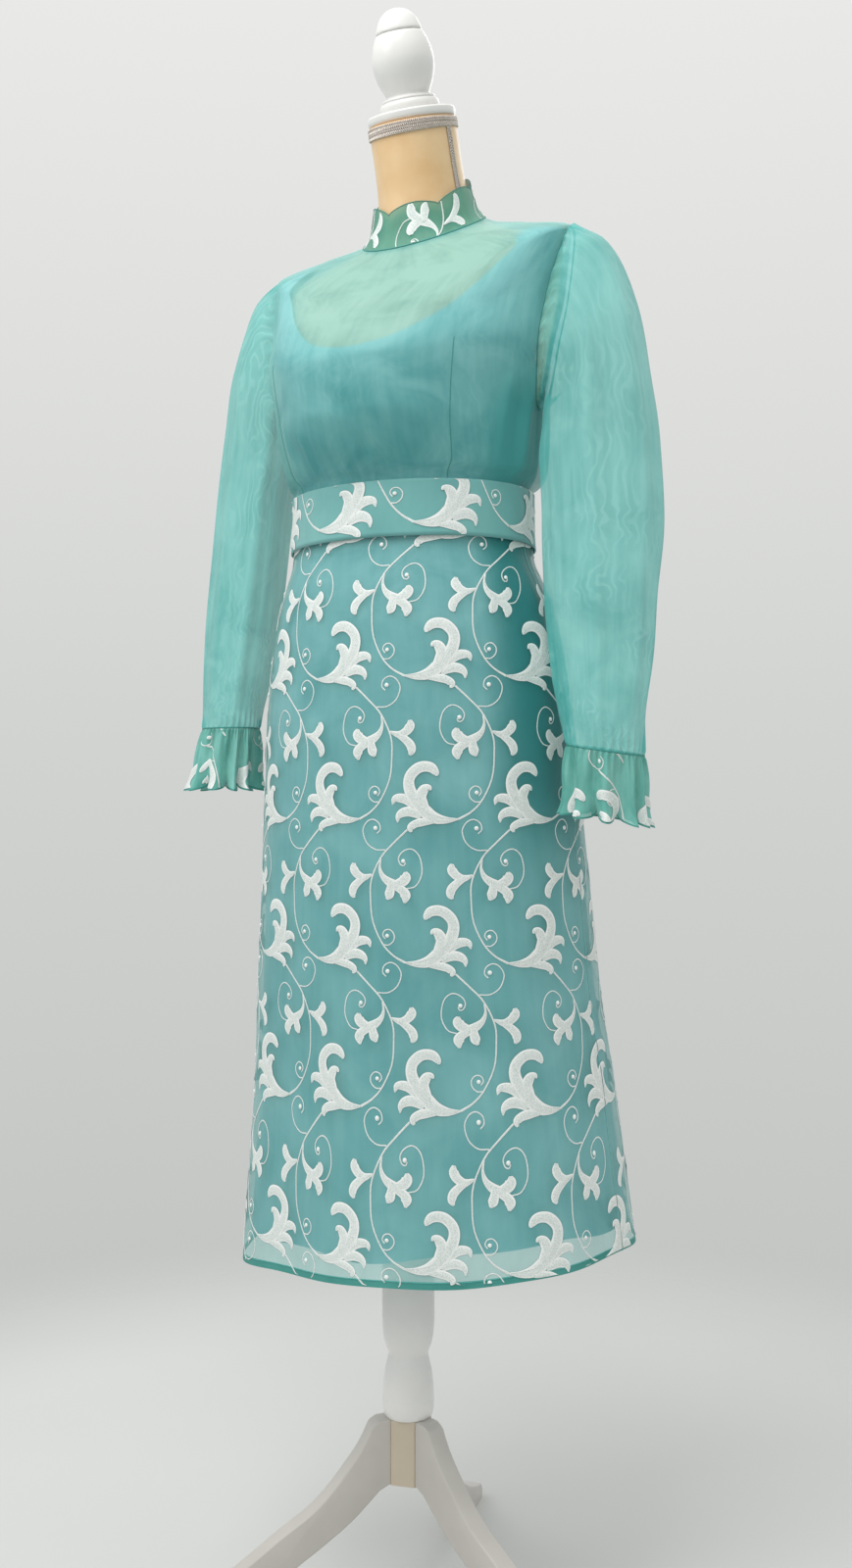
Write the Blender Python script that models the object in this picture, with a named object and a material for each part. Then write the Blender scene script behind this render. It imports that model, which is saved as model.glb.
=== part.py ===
"""Pencil dress of sheer organza over an opaque lining, worn by a limbless
dress form on a turned pole with three curved feet.

Metres, +Z up, the front of the dress faces -Y and the wearer's left is +X.
Everything is laid out round the pole's axis and then moved so that the
origin is the middle of the bounding box's bottom.
"""

import math
from collections import namedtuple

import bmesh
import bpy
from mathutils import Matrix, Vector

# Driving sizes
GAP = 0.0003
CLOTH = 0.0012
BELT_THICKNESS = 0.0016
BELT_OUT = 0.0040
PLACKET_OUT = 0.0012
PLACKET_THICKNESS = 0.0009
PLACKET_HALF_WIDTH = 0.012
LINING_HEM_LIFT = 0.028
FOLD_DEPTH = 0.0045
RUFFLE_DROP = 0.072
RUFFLE_WAVES = 11
HEAD_LEAN = 18.5
DISC_RADIUS = 0.0480
DISC_THICKNESS = 0.0100
POLE_RADIUS = 0.0283
FORM_BOTTOM = 0.8200
HUB_RADIUS = 0.0259
HUB_BOTTOM = 0.1455
HUB_TOP = 0.2150
LEG_THICKNESS = 0.0230
LEG_START = HUB_RADIUS * math.cos(math.radians(30)) + GAP
LEG_ANGLES = (-16.0, 104.0, -136.0)
LEG_NAMES = ("leg_left", "leg_back", "leg_right")

# Rings of the dress's outer face, from the neck down to the hem. Heights are
# given at centre front, at the sides and at centre back. lining and form say
# how far inside the outer face the lining and the dress form lie there.
Ring = namedtuple(
    "Ring",
    "front_z side_z back_z half_width front_depth back_depth "
    "centre_x centre_y left_lift lining form",
)
RINGS = (
    # neck top, under the disc
    Ring(1.5981, 1.614, 1.6299, 0.0475, 0.0475, 0.0475, 0.000, 0.0085, 0, 0, 0.0010),
    # collar top
    Ring(1.510, 1.540, 1.573, 0.0525, 0.0540, 0.0540, 0.001, 0.0285, 0, 0, 0.0050),
    # collar base
    Ring(1.466, 1.504, 1.537, 0.0670, 0.0660, 0.0670, 0.000, 0.0350, 0, 0.0032, 0.0020),
    # middle of the yoke
    Ring(1.438, 1.493, 1.505, 0.1200, 0.0900, 0.0860, 0.000, 0.0340, 0, 0.0040, 0.0095),
    # shoulder points
    Ring(1.402, 1.477, 1.455, 0.1770, 0.1150, 0.1000, 0.000, 0.0320, 0, 0.0048, 0.0135),
    # chest
    Ring(1.364, 1.410, 1.400, 0.1690, 0.1480, 0.1060, 0.000, 0.0250, 0, 0.0036, 0.0100),
    # bust
    Ring(1.320, 1.345, 1.345, 0.1600, 0.1590, 0.1060, 0.000, 0.0130, 0, 0.0050, 0.0095),
    # underarm
    Ring(1.272, 1.285, 1.285, 0.1500, 0.1550, 0.1080, 0.000, 0.0140, 0, 0.0040, 0.0100),
    # blouse above the belt
    Ring(1.222, 1.226, 1.226, 0.1460, 0.1290, 0.1180, 0.000, 0.0170, 0, 0.0110, 0.0180),
    # belt top
    Ring(1.204, 1.204, 1.200, 0.1330, 0.1080, 0.1060, 0.000, 0.0085, 0, 0.0036, 0.0078),
    # belt bottom
    Ring(1.146, 1.146, 1.142, 0.1345, 0.1100, 0.1080, 0.000, 0.0085, 0, 0.0032, 0.0068),
    # high hip
    Ring(1.080, 1.080, 1.080, 0.1560, 0.1230, 0.1260, 0.000, 0.0130, 0, 0.0032, 0.0080),
    # hip
    Ring(0.980, 0.980, 0.980, 0.1730, 0.1330, 0.1400, 0.000, 0.0180, 0, 0.0032, 0.0100),
    # thigh
    Ring(0.860, 0.860, 0.860, 0.1830, 0.1400, 0.1480, 0.000, 0.0260, 0, 0.0045, 0.0200),
    # knee
    Ring(0.700, 0.700, 0.700, 0.1950, 0.1470, 0.1580, 0.000, 0.0350, 0, 0.0065, 0.0300),
    # calf
    Ring(0.540, 0.545, 0.545, 0.2090, 0.1570, 0.1700, 0.004, 0.0420, 0.008, 0.0080, 0.0300),
    # hem
    Ring(0.388, 0.394, 0.400, 0.2240, 0.1680, 0.1820, 0.008, 0.0420, 0.018, 0.0100, 0.0300),
)
COLLAR_TOP = 1
COLLAR_BASE = 2
SHOULDER = 4
UNDERARM = 7
BELT_TOP = 9
WAIST_SEAM = 9.5
BELT_BOTTOM = 10
THIGH = 13
HEM = 16
SKIRT_STOPS = (WAIST_SEAM + 0.012, 10, 10.5, 11, 11.6, 12.4, 13.3, 14.2, 15.1, HEM)
LINING_STOPS = (WAIST_SEAM + 0.012, 10, 10.5, 11, 12, 13.3, 14.6, HEM)

# The armhole's edge as (ring, degrees it reaches before the side, degrees it
# reaches behind it), from the shoulder point down to the underarm
ARMHOLE = (
    (4.00, 0.0, 0.0),
    (4.15, 4.5, 7.4),
    (4.50, 8.5, 12.7),
    (5.00, 11.5, 16.0),
    (5.50, 11.0, 17.0),
    (6.00, 9.0, 16.0),
    (6.50, 6.5, 12.7),
    (6.85, 4.0, 7.4),
    (7.00, 0.0, 0.0),
)

# The lining's front neckline as (degrees from centre front, ring)
NECKLINE = (
    (-90.0, 3.20),
    (-66.0, 3.35),
    (-53.0, 3.65),
    (-44.0, 4.10),
    (-36.0, 4.65),
    (-24.0, 5.20),
    (-10.0, 5.55),
    (4.0, 5.66),
    (18.0, 5.58),
    (31.0, 5.30),
    (41.0, 5.00),
    (48.0, 4.60),
    (53.0, 4.15),
    (57.0, 3.70),
    (66.0, 3.40),
    (90.0, 3.20),
)
BODICE_STOPS = (2.012, 2.5, 3.0, 3.5, *(row[0] for row in ARMHOLE))
BODICE_STOPS += (7.5, 8.0, 8.5, 9.0, WAIST_SEAM)
PLACKET_STOPS = BODICE_STOPS[1:]

# Rings of a sleeve from the armhole to the wrist. tip turns the ring from
# standing upright at the armhole (90) to level (0), and turn swings its long
# axis from the side towards the back.
Cuff = namedtuple("Cuff", "x y z tip long_half short_half turn")
LEFT_SLEEVE = (
    Cuff(0.1660, 0.0200, 1.3830, 90, 0.0930, 0.0330, 0),
    Cuff(0.1850, 0.0200, 1.3760, 72, 0.0880, 0.0410, 4),
    Cuff(0.2085, 0.0210, 1.3400, 46, 0.0640, 0.0470, 12),
    Cuff(0.2140, 0.0230, 1.2870, 24, 0.0590, 0.0440, 22),
    Cuff(0.2175, 0.0245, 1.2350, 8, 0.0620, 0.0400, 30),
    Cuff(0.2215, 0.0240, 1.1650, 0, 0.0620, 0.0390, 30),
    Cuff(0.2215, 0.0180, 1.0950, 0, 0.0575, 0.0390, 30),
    Cuff(0.2240, 0.0130, 1.0300, 0, 0.0525, 0.0370, 30),
    Cuff(0.2270, 0.0045, 0.9700, 0, 0.0440, 0.0340, 30),
    Cuff(0.2300, -0.0005, 0.9290, 0, 0.0395, 0.0310, 30),
)
RIGHT_SLEEVE = (
    Cuff(0.1660, 0.0200, 1.3830, 90, 0.0930, 0.0330, 0),
    Cuff(0.1795, 0.0200, 1.3760, 72, 0.0880, 0.0400, 4),
    Cuff(0.1970, 0.0210, 1.3400, 46, 0.0620, 0.0450, 12),
    Cuff(0.2080, 0.0230, 1.2900, 24, 0.0580, 0.0425, 22),
    Cuff(0.2205, 0.0245, 1.2390, 8, 0.0600, 0.0400, 30),
    Cuff(0.2290, 0.0230, 1.1700, 0, 0.0600, 0.0390, 30),
    Cuff(0.2344, 0.0180, 1.0950, 0, 0.0570, 0.0390, 30),
    Cuff(0.2360, 0.0100, 1.0400, 0, 0.0520, 0.0360, 30),
    Cuff(0.2365, 0.0030, 0.9930, 0, 0.0450, 0.0330, 30),
    Cuff(0.2350, -0.0020, 0.9610, 0, 0.0400, 0.0310, 30),
)

# Turned profiles as (radius, height) pairs, top to bottom
FINIAL_PROFILE = (
    (0.0000, 0.1040),
    (0.0100, 0.1020),
    (0.0190, 0.0950),
    (0.0245, 0.0840),
    (0.0255, 0.0790),
    (0.0270, 0.0770),
    (0.0320, 0.0640),
    (0.0335, 0.0540),
    (0.0325, 0.0420),
    (0.0280, 0.0270),
    (0.0238, 0.0185),
    (0.0240, 0.0150),
    (0.0310, 0.0110),
    (0.0320, 0.0060),
    (0.0310, 0.0010),
    (0.0295, 0.0000),
)
POLE_PROFILE = (
    (POLE_RADIUS, FORM_BOTTOM - GAP),
    (POLE_RADIUS, 0.3230),
    (0.0275, 0.3060),
    (0.0250, 0.2930),
    (0.0222, 0.2855),
    (0.0216, 0.2825),
    (0.0224, 0.2770),
    (0.0250, 0.2660),
    (0.0268, 0.2520),
    (0.0276, 0.2380),
    (0.0280, 0.2310),
    (0.0276, 0.2240),
    (0.0262, 0.2175),
    (0.0250, HUB_TOP + GAP),
)

# A foot's side view as (distance from the pole's axis, height) pairs
LEG_UPPER = (
    (LEG_START, HUB_TOP),
    (0.0340, 0.2145),
    (0.0420, 0.2090),
    (0.0470, 0.1990),
    (0.0560, 0.1830),
    (0.0720, 0.1620),
    (0.0920, 0.1385),
    (0.1110, 0.1215),
    (0.1390, 0.1030),
    (0.1680, 0.0820),
    (0.2000, 0.0600),
    (0.2350, 0.0400),
    (0.2680, 0.0260),
    (0.2950, 0.0180),
)
LEG_LOWER = (
    (0.3020, 0.0090),
    (0.3000, 0.0000),
    (0.2500, 0.0000),
    (0.2150, 0.0120),
    (0.1800, 0.0300),
    (0.1500, 0.0490),
    (0.1210, 0.0700),
    (0.0990, 0.0845),
    (0.0760, 0.1010),
    (0.0610, 0.1130),
    (0.0460, 0.1275),
    (0.0340, 0.1395),
    (LEG_START, HUB_BOTTOM),
)


def material(name, colour, roughness, metallic=0.0):
    made = bpy.data.materials.new(name)
    made.use_nodes = True
    made.diffuse_color = (*colour, 1.0)
    shader = made.node_tree.nodes["Principled BSDF"]
    shader.inputs["Base Color"].default_value = (*colour, 1.0)
    shader.inputs["Roughness"].default_value = roughness
    shader.inputs["Metallic"].default_value = metallic
    return made


def finish_object(name, bm, surface):
    bmesh.ops.recalc_face_normals(bm, faces=bm.faces)
    if bm.calc_volume(signed=True) < 0:
        bmesh.ops.reverse_faces(bm, faces=bm.faces)
    mesh = bpy.data.meshes.new(name)
    bm.to_mesh(mesh)
    bm.free()
    mesh.shade_smooth()
    mesh.set_sharp_from_angle(angle=math.radians(40))
    thing = bpy.data.objects.new(name, mesh)
    thing.data.materials.append(surface)
    bpy.context.collection.objects.link(thing)
    return thing


def ease(before, start, end, after, share):
    """Smooth value between start and end that never overshoots them."""

    def slope(low, middle, high):
        first = middle - low
        second = high - middle
        if first * second <= 0:
            return 0.0
        return 2 * first * second / (first + second)

    rise = end - start
    leave = slope(before, start, end) if before is not None else rise
    arrive = slope(start, end, after) if after is not None else rise
    s2 = share * share
    s3 = s2 * share
    return (
        (2 * s3 - 3 * s2 + 1) * start
        + (s3 - 2 * s2 + share) * leave
        + (3 * s2 - 2 * s3) * end
        + (s3 - s2) * arrive
    )


def along(table, t):
    """The table's row at t, which may lie between two rows."""
    first = min(max(int(t), 0), len(table) - 2)
    share = min(max(t - first, 0.0), 1.0)
    before = table[first - 1] if first > 0 else (None,) * len(table[0])
    after = table[first + 2] if first + 2 < len(table) else (None,) * len(table[0])
    columns = zip(before, table[first], table[first + 1], after)
    return type(table[0])(*(ease(*column, share) for column in columns))


def body_face(t, turn):
    """Point of the dress's outer face: ring t, turn degrees from centre front."""
    ring = along(RINGS, t)
    c = math.cos(math.radians(turn))
    s = math.sin(math.radians(turn))
    depth = (ring.front_depth + ring.back_depth) / 2
    forward = (ring.front_depth - ring.back_depth) / 2
    tilt = (ring.front_z - ring.back_z) / 2
    dip = (ring.front_z + ring.back_z) / 2 - ring.side_z
    return Vector(
        (
            ring.centre_x + ring.half_width * s,
            ring.centre_y - depth * c - forward * c * c,
            ring.side_z + tilt * c + dip * c * c + ring.left_lift * s,
        )
    )


def body_point(t, turn, out=0.0):
    """body_face moved out along its normal."""
    down = body_face(min(t + 0.03, HEM), turn) - body_face(max(t - 0.03, 0), turn)
    across = body_face(t, turn + 1.0) - body_face(t, turn - 1.0)
    return body_face(t, turn) + down.cross(across).normalized() * out


def armhole_angle(t, side):
    """How far the armhole reaches from the side at ring t, in degrees: before
    it for side 1, behind it for side 2."""
    for above, below in zip(ARMHOLE, ARMHOLE[1:]):
        if above[0] <= t <= below[0]:
            share = (t - above[0]) / (below[0] - above[0])
            return above[side] + (below[side] - above[side]) * share
    return 0.0


def armhole_point(angle):
    """Point just inside the armhole's edge, angle from the shoulder backwards."""
    place = (1.0 - abs(angle % 360.0 / 180.0 - 1.0)) * (len(ARMHOLE) - 1)
    first = min(int(place), len(ARMHOLE) - 2)
    side, way = (2, 1.0) if angle % 360.0 < 180.0 else (1, -1.0)
    ends = [body_face(row[0], 90.0 + way * row[side]) for row in ARMHOLE[first : first + 2]]
    point = ends[0].lerp(ends[1], place - first)
    centre = body_face((SHOULDER + UNDERARM) / 2, 90.0)
    return point + (centre - point).normalized() * (GAP + 0.0004)


def sheet(name, place, across, down, surface, thickness=CLOTH, closed=False):
    """Cloth wall over a grid: place(u, v) gives its outer face, u and v in 0..1."""
    bm = bmesh.new()
    bmesh.ops.create_grid(bm, x_segments=across, y_segments=down, size=1.0)
    for vert in bm.verts:
        vert.co = place((vert.co.x + 1) / 2, (1 - vert.co.y) / 2)
    if closed:
        bmesh.ops.remove_doubles(bm, verts=bm.verts, dist=0.00002)
    mesh = bpy.data.meshes.new(name)
    bm.to_mesh(mesh)
    bm.free()
    mesh.shade_smooth()
    thing = bpy.data.objects.new(name, mesh)
    mesh.materials.append(surface)
    bpy.context.collection.objects.link(thing)
    wall = thing.modifiers.new("wall", "SOLIDIFY")
    wall.thickness = thickness
    wall.offset = -1.0
    return thing


def seam_trim(t):
    """Angle that a piece stops short of its seam. It leaves GAP between the
    two inner edges, which lean together a little, most at the shoulder."""
    lean = 0.0006 if t < SHOULDER + 0.5 else 0.0002
    return math.degrees((GAP / 2 + lean) / along(RINGS, t).half_width)


def panel(name, start, end, rings, depth, across, surface):
    """Bodice piece between two angles. rings(turn) lists the ring numbers of
    its rows, and depth(ring) is how far inside the outer face it lies. Its
    columns stand closer together towards the sides."""
    down = len(rings(0.0)) - 1
    first = 0.0 if start in (-90.0, 90.0) else 0.5
    last = 1.0 if end in (90.0, 270.0) else 0.5

    def place(u, v):
        share = first + (last - first) * u
        close = (1 - math.cos(math.pi * share)) / 2
        u = 0.4 * u + 0.6 * (close - (first and 0.5)) / (last - first)
        t = rings(start + (end - start) * u)[round(v * down)]
        side = 1 if start < 0 else 2
        left_edge = start + (armhole_angle(t, side) if start in (-90.0, 90.0) else 0.0)
        right_edge = end - (armhole_angle(t, side) if end in (90.0, 270.0) else 0.0)
        trim = seam_trim(t)
        turn = left_edge + trim + (right_edge - left_edge - 2 * trim) * u
        return body_point(t, turn, -depth(along(RINGS, t)))

    return sheet(name, place, across, down, surface)


def outer(ring):
    return 0.0


def inner(ring):
    return ring.lining


def bodice_rings(turn):
    return BODICE_STOPS


def scoop(turn):
    """The lining's neckline: deep at the front, shallower behind, with
    straps left at the shoulders."""
    if turn <= 90.0:
        for (near, high), (far, low) in zip(NECKLINE, NECKLINE[1:]):
            if turn <= far:
                share = max(turn - near, 0.0) / (far - near)
                return high + (low - high) * share
    return 3.2 + 1.3 * (1.0 - (abs(180.0 - turn) / 90.0) ** 3)


def lining_rings(turn):
    """Eight rows from the neckline to the underarm, then two to each ring."""
    top = scoop(turn)
    rings = [top + (UNDERARM - top) * row / 8 for row in range(8)]
    return rings + [7.0, 7.5, 8.0, 8.5, 9.0, WAIST_SEAM]


def sleeve_ring(table, t, angle):
    """Point of a left sleeve, angle running from outside towards the back."""
    row = along(table, t)
    tip = math.radians(row.tip)
    out_way = Vector((math.cos(tip), 0.0, math.sin(tip)))
    back_way = Vector((0.0, 1.0, 0.0))
    turn = math.radians(row.turn)
    swing = math.radians(angle) - turn
    long_part = row.long_half * math.cos(swing)
    short_part = row.short_half * math.sin(swing)
    outward = long_part * math.cos(turn) - short_part * math.sin(turn)
    backward = long_part * math.sin(turn) + short_part * math.cos(turn)
    return Vector((row.x, row.y, row.z)) + out_way * outward + back_way * backward


def sleeve_point(table, t, angle):
    """sleeve_ring, drawn in to the armhole's edge near its top."""
    point = sleeve_ring(table, t, angle)
    if t < 1.0:
        point += (armhole_point(angle) - sleeve_ring(table, 0.0, angle)) * (1 - t) ** 2
    return point


def sleeve(name, table, side, surface):
    """A sleeve on the left (side 1) or the right (side -1)."""
    last = len(table) - 1

    def place(u, v):
        t = last * (1.35 * v if v < 0.4 else 0.54 + (v - 0.4) * 0.46 / 0.6)
        point = sleeve_point(table, t, side * (360.0 * u - 180.0))
        point.x *= side
        return point

    return sheet(name, place, 24, 12, surface, closed=True)


def ruffle(name, table, side, flare, swing, surface):
    """A gathered cuff below the wrist, waved and scalloped at its edge."""
    wrist = table[-1]

    def place(u, v):
        angle = side * (360.0 * u - 180.0)
        wave = math.cos(math.radians(RUFFLE_WAVES * angle))
        out = flare * v ** 1.3 + 0.0058 * v * wave
        row = wrist._replace(
            x=wrist.x + swing * v,
            z=wrist.z - GAP - v * (RUFFLE_DROP - 0.004 + 0.0035 * wave),
            long_half=wrist.long_half + out,
            short_half=wrist.short_half + out,
        )
        point = sleeve_ring((row, row), 0.0, angle)
        point.x *= side
        return point

    return sheet(name, place, RUFFLE_WAVES * 6, 2, surface, closed=True)


def turned(name, profile, segments, surface):
    """Turned solid about Z from a profile that runs top to bottom."""
    bm = bmesh.new()
    points = list(profile)
    if points[0][0] > 0:
        points.insert(0, (0.0, points[0][1]))
    if points[-1][0] > 0:
        points.append((0.0, points[-1][1]))
    verts = [bm.verts.new((radius, 0.0, height)) for radius, height in points]
    edges = [bm.edges.new(pair) for pair in zip(verts, verts[1:])]
    bmesh.ops.spin(
        bm,
        geom=verts + edges,
        axis=(0, 0, 1),
        cent=(0, 0, 0),
        angle=math.tau,
        steps=segments,
    )
    bmesh.ops.remove_doubles(bm, verts=bm.verts, dist=0.00002)
    return finish_object(name, bm, surface)


def form_solid(surface):
    """The padded form: neck, shoulders without arms, bust, waist and hips."""
    rows = [0.0, 0.3, 0.6, 0.9, 1.4, 1.8, 2.1, 2.5, 3.0, 3.5, 4.0, 4.3, 4.8, 5.4, 6.0]
    rows += [6.6, 7.2, 8.0, 9.0, 10.0, 10.8, 11.6, 12.5, 13.25]
    count = len(rows) - 1
    segments = 28
    bm = bmesh.new()
    bmesh.ops.create_grid(bm, x_segments=segments, y_segments=count, size=1.0)
    for vert in bm.verts:
        t = rows[round((1 - vert.co.y) / 2 * count)]
        turn = 180.0 * vert.co.x
        vert.co = body_point(t, turn, -along(RINGS, t).form)
        if t == rows[-1]:
            vert.co.z = FORM_BOTTOM
    bmesh.ops.remove_doubles(bm, verts=bm.verts, dist=0.00002)
    ends = [edge for edge in bm.edges if edge.is_boundary]
    bmesh.ops.holes_fill(bm, edges=ends, sides=segments)
    return finish_object("form_torso", bm, surface)


def leg(name, angle, surface):
    """A curved board cut to the foot's side view."""
    bm = bmesh.new()
    outline = list(LEG_UPPER) + list(LEG_LOWER)
    half = LEG_THICKNESS / 2
    verts = [bm.verts.new((distance, -half, height)) for distance, height in outline]
    face = bm.faces.new(verts)
    made = bmesh.ops.extrude_face_region(bm, geom=[face])
    moved = [item for item in made["geom"] if isinstance(item, bmesh.types.BMVert)]
    bmesh.ops.translate(bm, verts=moved, vec=(0.0, LEG_THICKNESS, 0.0))
    bm.transform(Matrix.Rotation(math.radians(angle), 4, "Z"))
    return finish_object(name, bm, surface)


def braid(name, rings, turns, thickness, across, down, closed, surface):
    """Braid laid on the neck between two rings and two angles."""

    def place(u, v):
        t = rings[0] + (rings[1] - rings[0]) * v
        turn = turns[0] + (turns[1] - turns[0]) * u
        return body_point(t, turn, thickness + 2 * GAP - along(RINGS, t).form)

    return sheet(name, place, across, down, surface, thickness=thickness, closed=closed)


for old in list(bpy.data.objects):
    bpy.data.objects.remove(old, do_unlink=True)

organza = material("organza", (0.20, 0.55, 0.50), 0.45)
embroidered = material("embroidered organza", (0.28, 0.55, 0.54), 0.5)
lining_cloth = material("lining taffeta", (0.14, 0.42, 0.44), 0.5)
satin = material("satin jersey", (0.74, 0.52, 0.26), 0.35)
white_paint = material("white painted wood", (0.82, 0.82, 0.81), 0.35)
grey_paint = material("grey painted wood", (0.48, 0.46, 0.43), 0.45)
raw_wood = material("primed wood", (0.50, 0.42, 0.33), 0.6)
bolt_steel = material("blackened steel", (0.03, 0.03, 0.03), 0.4, 1.0)
silver = material("silver braid", (0.60, 0.58, 0.55), 0.35, 1.0)

form_solid(satin)
panel("lining_front", -90.0, 90.0, lining_rings, inner, 18, lining_cloth)
panel("lining_back_left", 90.0, 180.0, lining_rings, inner, 8, lining_cloth)
panel("lining_back_right", 180.0, 270.0, lining_rings, inner, 8, lining_cloth)
panel("bodice_front", -90.0, 90.0, bodice_rings, outer, 20, organza)
panel("bodice_back_left", 90.0, 180.0, bodice_rings, outer, 9, organza)
panel("bodice_back_right", 180.0, 270.0, bodice_rings, outer, 9, organza)


def skirt_panel(name, start, end, across, stops, depth, lift, surface):
    """Skirt piece from the waist seam to the hem, or to lift above it, with a
    row of faces between each two of the ring numbers in stops."""

    def place(u, v):
        t = stops[round(v * (len(stops) - 1))]
        trim = seam_trim(t)
        turn = start + trim + (end - start - 2 * trim) * u
        low = max(0.0, t - THIGH) / (HEM - THIGH)
        facing_front = max(0.0, math.cos(math.radians(turn / 2)))
        fold = FOLD_DEPTH * low * math.cos(math.radians(7 * turn - 20)) * facing_front
        point = body_point(t, turn, fold - depth(along(RINGS, t)))
        point.z += lift * low ** 2
        return point

    return sheet(name, place, across, len(stops) - 1, surface)


def skirt_pieces(prefix, columns, stops, depth, lift, surface):
    """A front cut in one and two backs."""
    skirt_panel(prefix + "_front", -90.0, 90.0, 2 * columns, stops, depth, lift, surface)
    skirt_panel(prefix + "_back_left", 90.0, 180.0, columns, stops, depth, lift, surface)
    skirt_panel(prefix + "_back_right", 180.0, 270.0, columns, stops, depth, lift, surface)


skirt_pieces("skirt_lining", 9, LINING_STOPS, inner, LINING_HEM_LIFT, lining_cloth)
skirt_pieces("skirt", 11, SKIRT_STOPS, outer, 0.0, embroidered)


def collar_place(u, v):
    """Stand collar open by a hair at centre back, its top edge scalloped."""
    turn = -179.8 + 359.6 * u
    scallop = 0.05 * (1 - v) * abs(math.cos(math.radians(turn * 4)))
    return body_point(COLLAR_TOP - scallop + (COLLAR_BASE - 0.012 - COLLAR_TOP) * v, turn)


def belt_place(u, v):
    """Wide belt whose ends meet at centre back."""
    turn = -179.8 + 359.6 * u
    return body_point(BELT_TOP + (BELT_BOTTOM - BELT_TOP) * v, turn, BELT_OUT)


def placket_place(u, v):
    """Lapped strip over the opening at centre back."""
    t = PLACKET_STOPS[round(v * (len(PLACKET_STOPS) - 1))]
    reach = math.degrees(PLACKET_HALF_WIDTH / along(RINGS, t).half_width)
    return body_point(t, 180.0 + reach * (2 * u - 1), PLACKET_OUT)


sheet("collar", collar_place, 48, 1, embroidered)
sheet("belt", belt_place, 36, 2, embroidered, thickness=BELT_THICKNESS)
sheet("placket", placket_place, 2, len(PLACKET_STOPS) - 1, organza, thickness=PLACKET_THICKNESS)
sleeve("sleeve_left", LEFT_SLEEVE, 1, organza)
sleeve("sleeve_right", RIGHT_SLEEVE, -1, organza)
ruffle("ruffle_left", LEFT_SLEEVE, 1, 0.0075, 0.0010, embroidered)
ruffle("ruffle_right", RIGHT_SLEEVE, -1, 0.0105, 0.0080, embroidered)

# The head of the form leans forward with its neck
head_foot = along(RINGS, 0)
head_turn = Matrix.Translation((0, head_foot.centre_y, head_foot.side_z))
head_turn @= Matrix.Rotation(math.radians(HEAD_LEAN), 4, "X")
disc_profile = (
    (DISC_RADIUS - 0.0015, GAP + DISC_THICKNESS),
    (DISC_RADIUS, GAP + DISC_THICKNESS - 0.0015),
    (DISC_RADIUS, GAP + 0.0015),
    (DISC_RADIUS - 0.0015, GAP),
)
disc = turned("neck_disc", disc_profile, 24, white_paint)
disc.matrix_world = head_turn
finial = turned("finial", FINIAL_PROFILE, 20, white_paint)
finial.matrix_world = head_turn @ Matrix.Translation((0, 0, DISC_THICKNESS + 2 * GAP))
braid("neck_braid", (0.07, 0.21), (-180.0, 180.0), 0.0020, 28, 1, True, silver)
braid("side_braid", (0.25, 0.80), (84.0, 94.0), 0.0016, 2, 6, False, silver)

turned("pole", POLE_PROFILE, 20, white_paint)
hub = turned("hub", ((HUB_RADIUS, HUB_TOP), (HUB_RADIUS, HUB_BOTTOM)), 6, raw_wood)
hub.rotation_euler.z = math.radians(LEG_ANGLES[0] - 30)
turned("hub_bolt", ((0.0055, HUB_BOTTOM - GAP), (0.0055, HUB_BOTTOM - 0.005)), 12, bolt_steel)
for leg_name, leg_angle in zip(LEG_NAMES, LEG_ANGLES):
    leg(leg_name, leg_angle, grey_paint)

# The origin goes to the middle of the bounding box's bottom
bpy.context.view_layer.update()
corners = [
    thing.matrix_world @ Vector(corner)
    for thing in bpy.data.objects
    for corner in thing.bound_box
]
middle_x = (min(c.x for c in corners) + max(c.x for c in corners)) / 2
middle_y = (min(c.y for c in corners) + max(c.y for c in corners)) / 2
for thing in bpy.data.objects:
    thing.location.x -= middle_x
    thing.location.y -= middle_y
bpy.context.view_layer.update()
for thing in bpy.data.objects:
    print(thing.name, len(thing.data.polygons))
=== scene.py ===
# %% [markdown]
# # A pencil dress on its form
# The dress is sheer organza over a plain lining, with an embroidered skirt,
# belt, collar and cuffs. It hangs on a padded form with a turned stand. The
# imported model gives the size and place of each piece. Each step below swaps
# one rigid stand-in for the real cloth, thread, braid or painted wood.

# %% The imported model
import math
from collections import namedtuple

import bmesh
import bpy
import numpy as np
from mathutils import Matrix, Vector


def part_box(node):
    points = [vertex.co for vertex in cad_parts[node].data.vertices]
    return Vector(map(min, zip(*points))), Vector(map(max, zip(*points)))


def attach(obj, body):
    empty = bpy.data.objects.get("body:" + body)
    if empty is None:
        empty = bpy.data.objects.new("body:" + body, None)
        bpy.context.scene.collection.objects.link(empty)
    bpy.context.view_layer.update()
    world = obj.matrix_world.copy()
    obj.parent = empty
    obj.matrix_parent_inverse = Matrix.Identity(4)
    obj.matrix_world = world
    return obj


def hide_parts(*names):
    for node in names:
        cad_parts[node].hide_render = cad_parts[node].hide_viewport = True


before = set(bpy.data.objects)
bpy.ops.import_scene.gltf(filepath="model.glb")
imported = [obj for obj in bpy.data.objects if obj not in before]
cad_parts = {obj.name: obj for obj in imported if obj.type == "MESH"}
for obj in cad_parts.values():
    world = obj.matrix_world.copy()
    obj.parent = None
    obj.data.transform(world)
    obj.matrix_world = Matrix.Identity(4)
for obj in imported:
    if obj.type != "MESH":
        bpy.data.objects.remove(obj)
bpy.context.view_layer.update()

# %% [markdown]
# ## The middle of the stand
# Rings of the dress are laid out round the pole, as a dressmaker measures
# round a body. The pole's own box gives that axis, so nothing is guessed.

# %% The pole's axis
low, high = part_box("pole")
AXIS = np.array([(low.x + high.x) / 2, (low.y + high.y) / 2, 0.0])
print("pole axis:", AXIS.round(4))

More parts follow.
